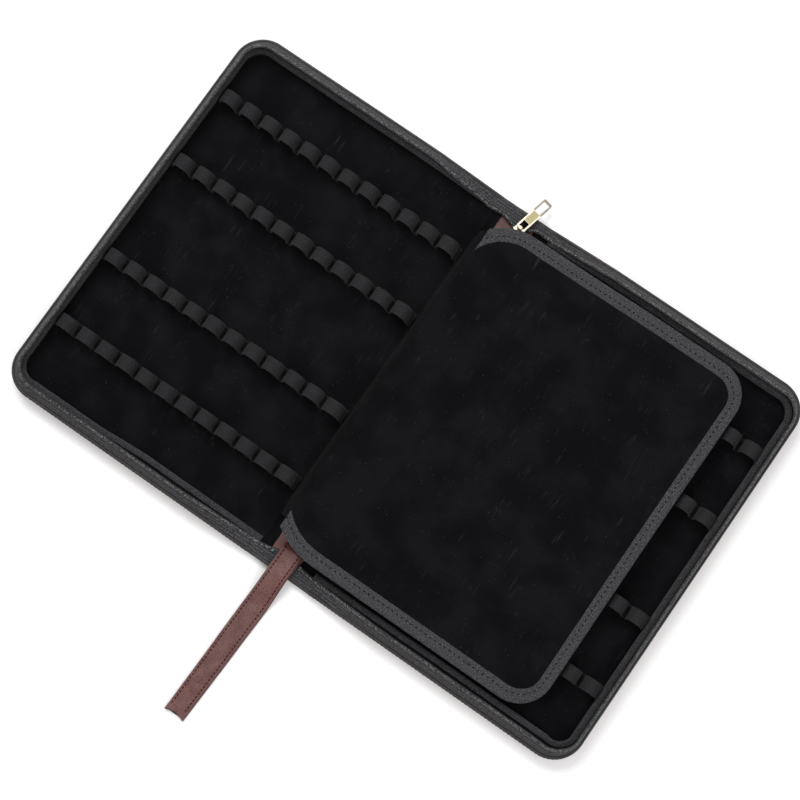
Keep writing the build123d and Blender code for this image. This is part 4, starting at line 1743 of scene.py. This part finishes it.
@dataclass(frozen=True)
class HingeFlap:
    """Velvet flap that joins the leaf to the left half."""

    foot: Spot = (-23.8, 4.1)
    top: Spot = (-17.0, 15.4)
    reach: Spot = (-16.6, 18.9)
    low_y: float = -128.0
    high_y: float = 134.5
    thickness: float = 1.1

    def strip(self, name: str, line: Sequence[Spot]) -> Piece:
        """Cloth swept along the hinge.

        Args:
            name: the piece's name.
            line: the cloth's middle line as pairs of X and height.

        Returns:
            The new piece, riding on nothing yet.
        """
        rows, lays = [], []
        for y in spaced(self.low_y, self.high_y, 4.0):
            bowed = []
            fade = ease(min(y - self.low_y, self.high_y - y), -2.0, 12.0)
            for index, (x, z) in enumerate(line):
                share = math.sin(math.pi * index / (len(line) - 1))
                bowed.append((x + wobble(y, z, 21, 0.5, 11.0) * share + 1.4 * (1 - fade), z))
            ring = ribbon(bowed, self.thickness * (0.2 + 0.8 * fade))
            rows.append([(x, y, z) for x, z, _ in ring])
            lays.append([(y, across) for _, _, across in ring])
        return skinned(name, BLACK_VELVET, 60.0, rows, lays)

    def build(self) -> list[Piece]:
        """Makes the flap, the hem that gives way at its top, and its sewn foot."""
        line = []
        for share in [index / 8 for index in range(9)]:
            x, z = [lerp(low, high, share) for low, high in zip(self.foot, self.top)]
            line.append((x - 0.5 * math.sin(math.pi * share), z))
        cloth = settle(self.strip("hinge_cloth", line), "leaf_flap", "leaf_hinge_flap")
        start = (self.top[0], self.top[1] - 0.6)
        line = [[lerp(low, high, share) for low, high in zip(start, self.reach)] for share in (0, 0.35, 0.7, 1)]
        hem = settle(self.strip("hinge_cloth_hem", line), "leaf_flap")
        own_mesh(hem)
        foot_line = [(-26.0, 3.6), (-25.2, 3.95), (-24.5, 4.35), (-23.9, 4.3), (-23.5, 3.7)]
        return [cloth, hem, settle(self.strip("hinge_foot", foot_line), "left_half")]


@dataclass(frozen=True)
class Strap:
    """Two-ply leather strap sewn to the spine's lining."""

    root: float = -134.6
    rise_start: float = -141.0
    crest: float = -147.0
    drop_start: float = -164.6
    drop_end: float = -195.4
    end: float = -293.3
    low: float = 2.2
    high: float = 5.5
    ply: float = 1.18
    width: float = 19.0
    end_width: float = 16.8
    taper_start: float = -165.0
    notch: float = 2.6
    notch_length: float = 14.0
    drift: float = 3.9
    curl: float = 2.6
    curl_rises: Spot = (139.0, 151.0)
    curl_falls: Spot = (163.0, 200.0)
    stitch_share: float = 0.74
    stitch_pitch: float = 3.1
    stitch: Spot = (1.9, 1.0)
    turn: Spot = (-163.0, -169.5)

    def floor(self, y: float) -> float:
        """Height of the lower ply's underside."""
        climbed = lerp(self.low, self.high, ease(-y, -self.rise_start, -self.crest))
        return climbed * (1 - ease(-y, -self.drop_start, -self.drop_end))

    def middle(self, y: float) -> float:
        """Middle of the strap across the spine."""
        share = clamp((y - self.crest) / (self.end - self.crest))
        return 1.1 - self.drift * share**1.3 + wobble(0, y, 40, 0.25, 12.0)

    def half_width(self, y: float) -> float:
        """Half of the strap's width."""
        taper = clamp((y - self.taper_start) / (self.end - self.taper_start))
        return lerp(self.width, self.end_width, taper) / 2 * (1 - 0.09 * self.cupped(y))

    def cupped(self, y: float) -> float:
        """How far the strap is cupped here, from 0 to 1: its edges curl up over the case's edge."""
        return ease(-y, *self.curl_rises) * (1 - ease(-y, *self.curl_falls))

    def hollow(self, share: float, y: float) -> float:
        """How far the hollow end is cut back at a share of the half width."""
        return self.notch * (1 - share * share) * ease(-y, -self.end - self.notch_length, -self.end)

    def ply_rows(self, lift: float, narrower: float, shift: float) -> list[list[Point]]:
        """Sections of one ply.

        Args:
            lift: height of its underside over the strap's floor.
            narrower: how much narrower it is on each side.
            shift: how far it lies to one side.

        Returns:
            Closed rings of points along the strap.
        """
        near = ((1.0, 0.5), (0.992, 0.86), (0.955, 1.1), (0.9, 1.16), (0.84, 1.06), (0.79, 0.98), (0.74, 0.95))
        near += ((0.69, 0.98), (0.63, 1.02), (0.42, 1.04), (0.2, 1.05))
        under = ((0.99, 0.14), (0.94, 0.0), (0.66, 0.0), (0.33, 0.0))
        profile = [(-share, up) for share, up in near] + [(0.0, 1.05)] + list(reversed(near))
        profile += [*under, (0.0, 0.0), *[(-share, up) for share, up in reversed(under)]]
        ys = [*spaced(self.root, self.rise_start, 2.0), *spaced(self.rise_start, self.crest, 0.75)[1:]]
        ys += [*spaced(self.crest, self.drop_start, 2.0)[1:], *spaced(self.drop_start, self.drop_end, 1.2)[1:]]
        ys += [*spaced(self.drop_end, self.end, 3.0)[1:]]
        rows = []
        for index, y in enumerate(ys):
            half = self.half_width(y) - narrower
            thin = 0.72 if index in (0, len(ys) - 1) else 1.0
            row = []
            for share, up in profile:
                place = y + self.hollow(share, y)
                rise = lift + (0.5 + (up - 0.5) * thin) * self.ply + self.curl * self.cupped(y) * abs(share) ** 2.4
                row.append((self.middle(y) + shift + share * half, place, self.floor(y) + rise))
            rows.append(row)
        return rows

    def bend(self, piece: Piece) -> Piece:
        """Bakes a piece's placement into its mesh."""
        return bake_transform(piece)

    def stitches(self) -> Piece:
        """Two rows of stitches on the upper ply."""
        pot = MeshPot()
        for side in (-1, 1):
            for index in range(int((self.root - self.end - 4) / self.stitch_pitch)):
                y = self.root - 2.2 - index * self.stitch_pitch
                slope = self.floor(y + 0.5) - self.floor(y - 0.5)
                x = self.middle(y) - 0.25 + side * self.stitch_share * (self.half_width(y) - 0.45)
                run = Vector((0, 1, slope))
                cup = self.curl * self.cupped(y) * self.stitch_share**2.4
                spot = Vector((x, y, self.floor(y) + 1.9 * self.ply + cup))
                pot.stitch(spot, run, run.cross(Vector((-1, 0, 0))), *self.stitch)
        return pot.build("strap_stitches", RED_THREAD)

    def build(self) -> list[Piece]:
        """Makes both plies and the stitches."""
        lower = skinned("strap_under_ply", STRAP_LEATHER, 60.0, self.ply_rows(0.0, 0.1, 0.25))
        upper = skinned("strap_top_ply", STRAP_LEATHER, 60.0, self.ply_rows(self.ply + 0.03, 0.45, -0.25))
        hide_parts("strap_lower_ply", "strap_root")
        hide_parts("strap_upper_ply")
        return [self.bend(piece) for piece in (lower, upper, self.stitches())]


@dataclass(frozen=True)
class Studio:
    """Pale paper floor, soft lights and the camera."""

    camera_place: Point = (143.0, -184.0, 1482.0)
    look: Point = (-0.095, 0.118, -0.988)
    up: Point = (-0.563, 0.813, 0.151)
    lens: float = 90.0
    world_strength: float = 0.62
    half_size: float = 4000.0

    def build(self) -> list[Piece]:
        """Sets up floor, lights and camera."""
        floor = self.floor()
        self.lights()
        self.camera()
        return [floor]

    def floor(self) -> Piece:
        """Large flat sheet of studio paper."""
        lines = spaced(-self.half_size, self.half_size, 1000)
        made = laid("studio_floor", STUDIO_PAPER, [[(x, y, -0.3, -2.0) for x in lines] for y in lines])
        return made

    def lights(self) -> None:
        """Even light from the room, one soft key and one weaker fill."""
        world = bpy.data.worlds.new("Studio light")
        bpy.context.scene.world = world
        world.use_nodes = True
        backdrop = world.node_tree.nodes["Background"]
        backdrop.inputs["Color"].default_value = (1.0, 1.0, 1.0, 1.0)
        backdrop.inputs["Strength"].default_value = self.world_strength
        for name, place, size, power in (
            ("Key softbox", (-900, 700, 1500), 1.1, 26.0),
            ("Fill softbox", (1100, -500, 1300), 1.4, 14.0),
        ):
            data = bpy.data.lights.new(name, "AREA")
            data.size = size
            data.energy = power
            light = bpy.data.objects.new(name, data)
            bpy.context.scene.collection.objects.link(light)
            light.location = Vector(place) * MM
            light.rotation_euler = (-light.location).to_track_quat("-Z", "Y").to_euler()

    def camera(self) -> None:
        """Camera at the photograph's viewing angle."""
        data = bpy.data.cameras.new("Camera")
        data.lens = self.lens
        data.sensor_width = 36.0
        camera = bpy.data.objects.new("Camera", data)
        bpy.context.scene.collection.objects.link(camera)
        back = -Vector(self.look).normalized()
        right = Vector(self.up).cross(back).normalized()
        up = back.cross(right)
        turn = Matrix((right, up, back)).transposed().to_4x4()
        camera.matrix_world = Matrix.Translation(Vector(self.camera_place) * MM) @ turn
        bpy.context.scene.camera = camera
        bpy.context.scene.view_settings.view_transform = "Standard"


def band_pieces() -> list[LoopBand]:
    """The eight elastic bands."""
    lines = (
        ("upper_row_top_band", 108.5),
        ("upper_row_bottom_band", 47.5),
        ("lower_row_top_band", -41.5),
        ("lower_row_bottom_band", -102.5),
    )
    return [
        LoopBand(side, f"{side.word}_{name}", y, 40 + index * 2 + side.value)
        for side in Side
        for index, (name, y) in enumerate(lines)
    ]


def main() -> None:
    """Builds every sub-assembly in order."""
    logging.basicConfig(level=logging.INFO, format="%(message)s")
    assemblies = [Studio()]
    for side in Side:
        dress(f"{side.word}_board", BOARD)
        assemblies += [Cover(side), ZipRun(side), PaddedWall(side), FloorVelvet(side), FoldStrip(side)]
    assemblies += band_pieces()
    assemblies += [SpinePanel(), EndZip(End.TOP), EndZip(End.BOTTOM), ZipSlider(), Leaf(), HingeFlap(), Strap()]
    for assembly in assemblies:
        for piece in assembly.build():
            log.info("%s: %s, %d faces", type(assembly).__name__, piece.name, len(piece.data.polygons))


if __name__ == "__main__":
    main()
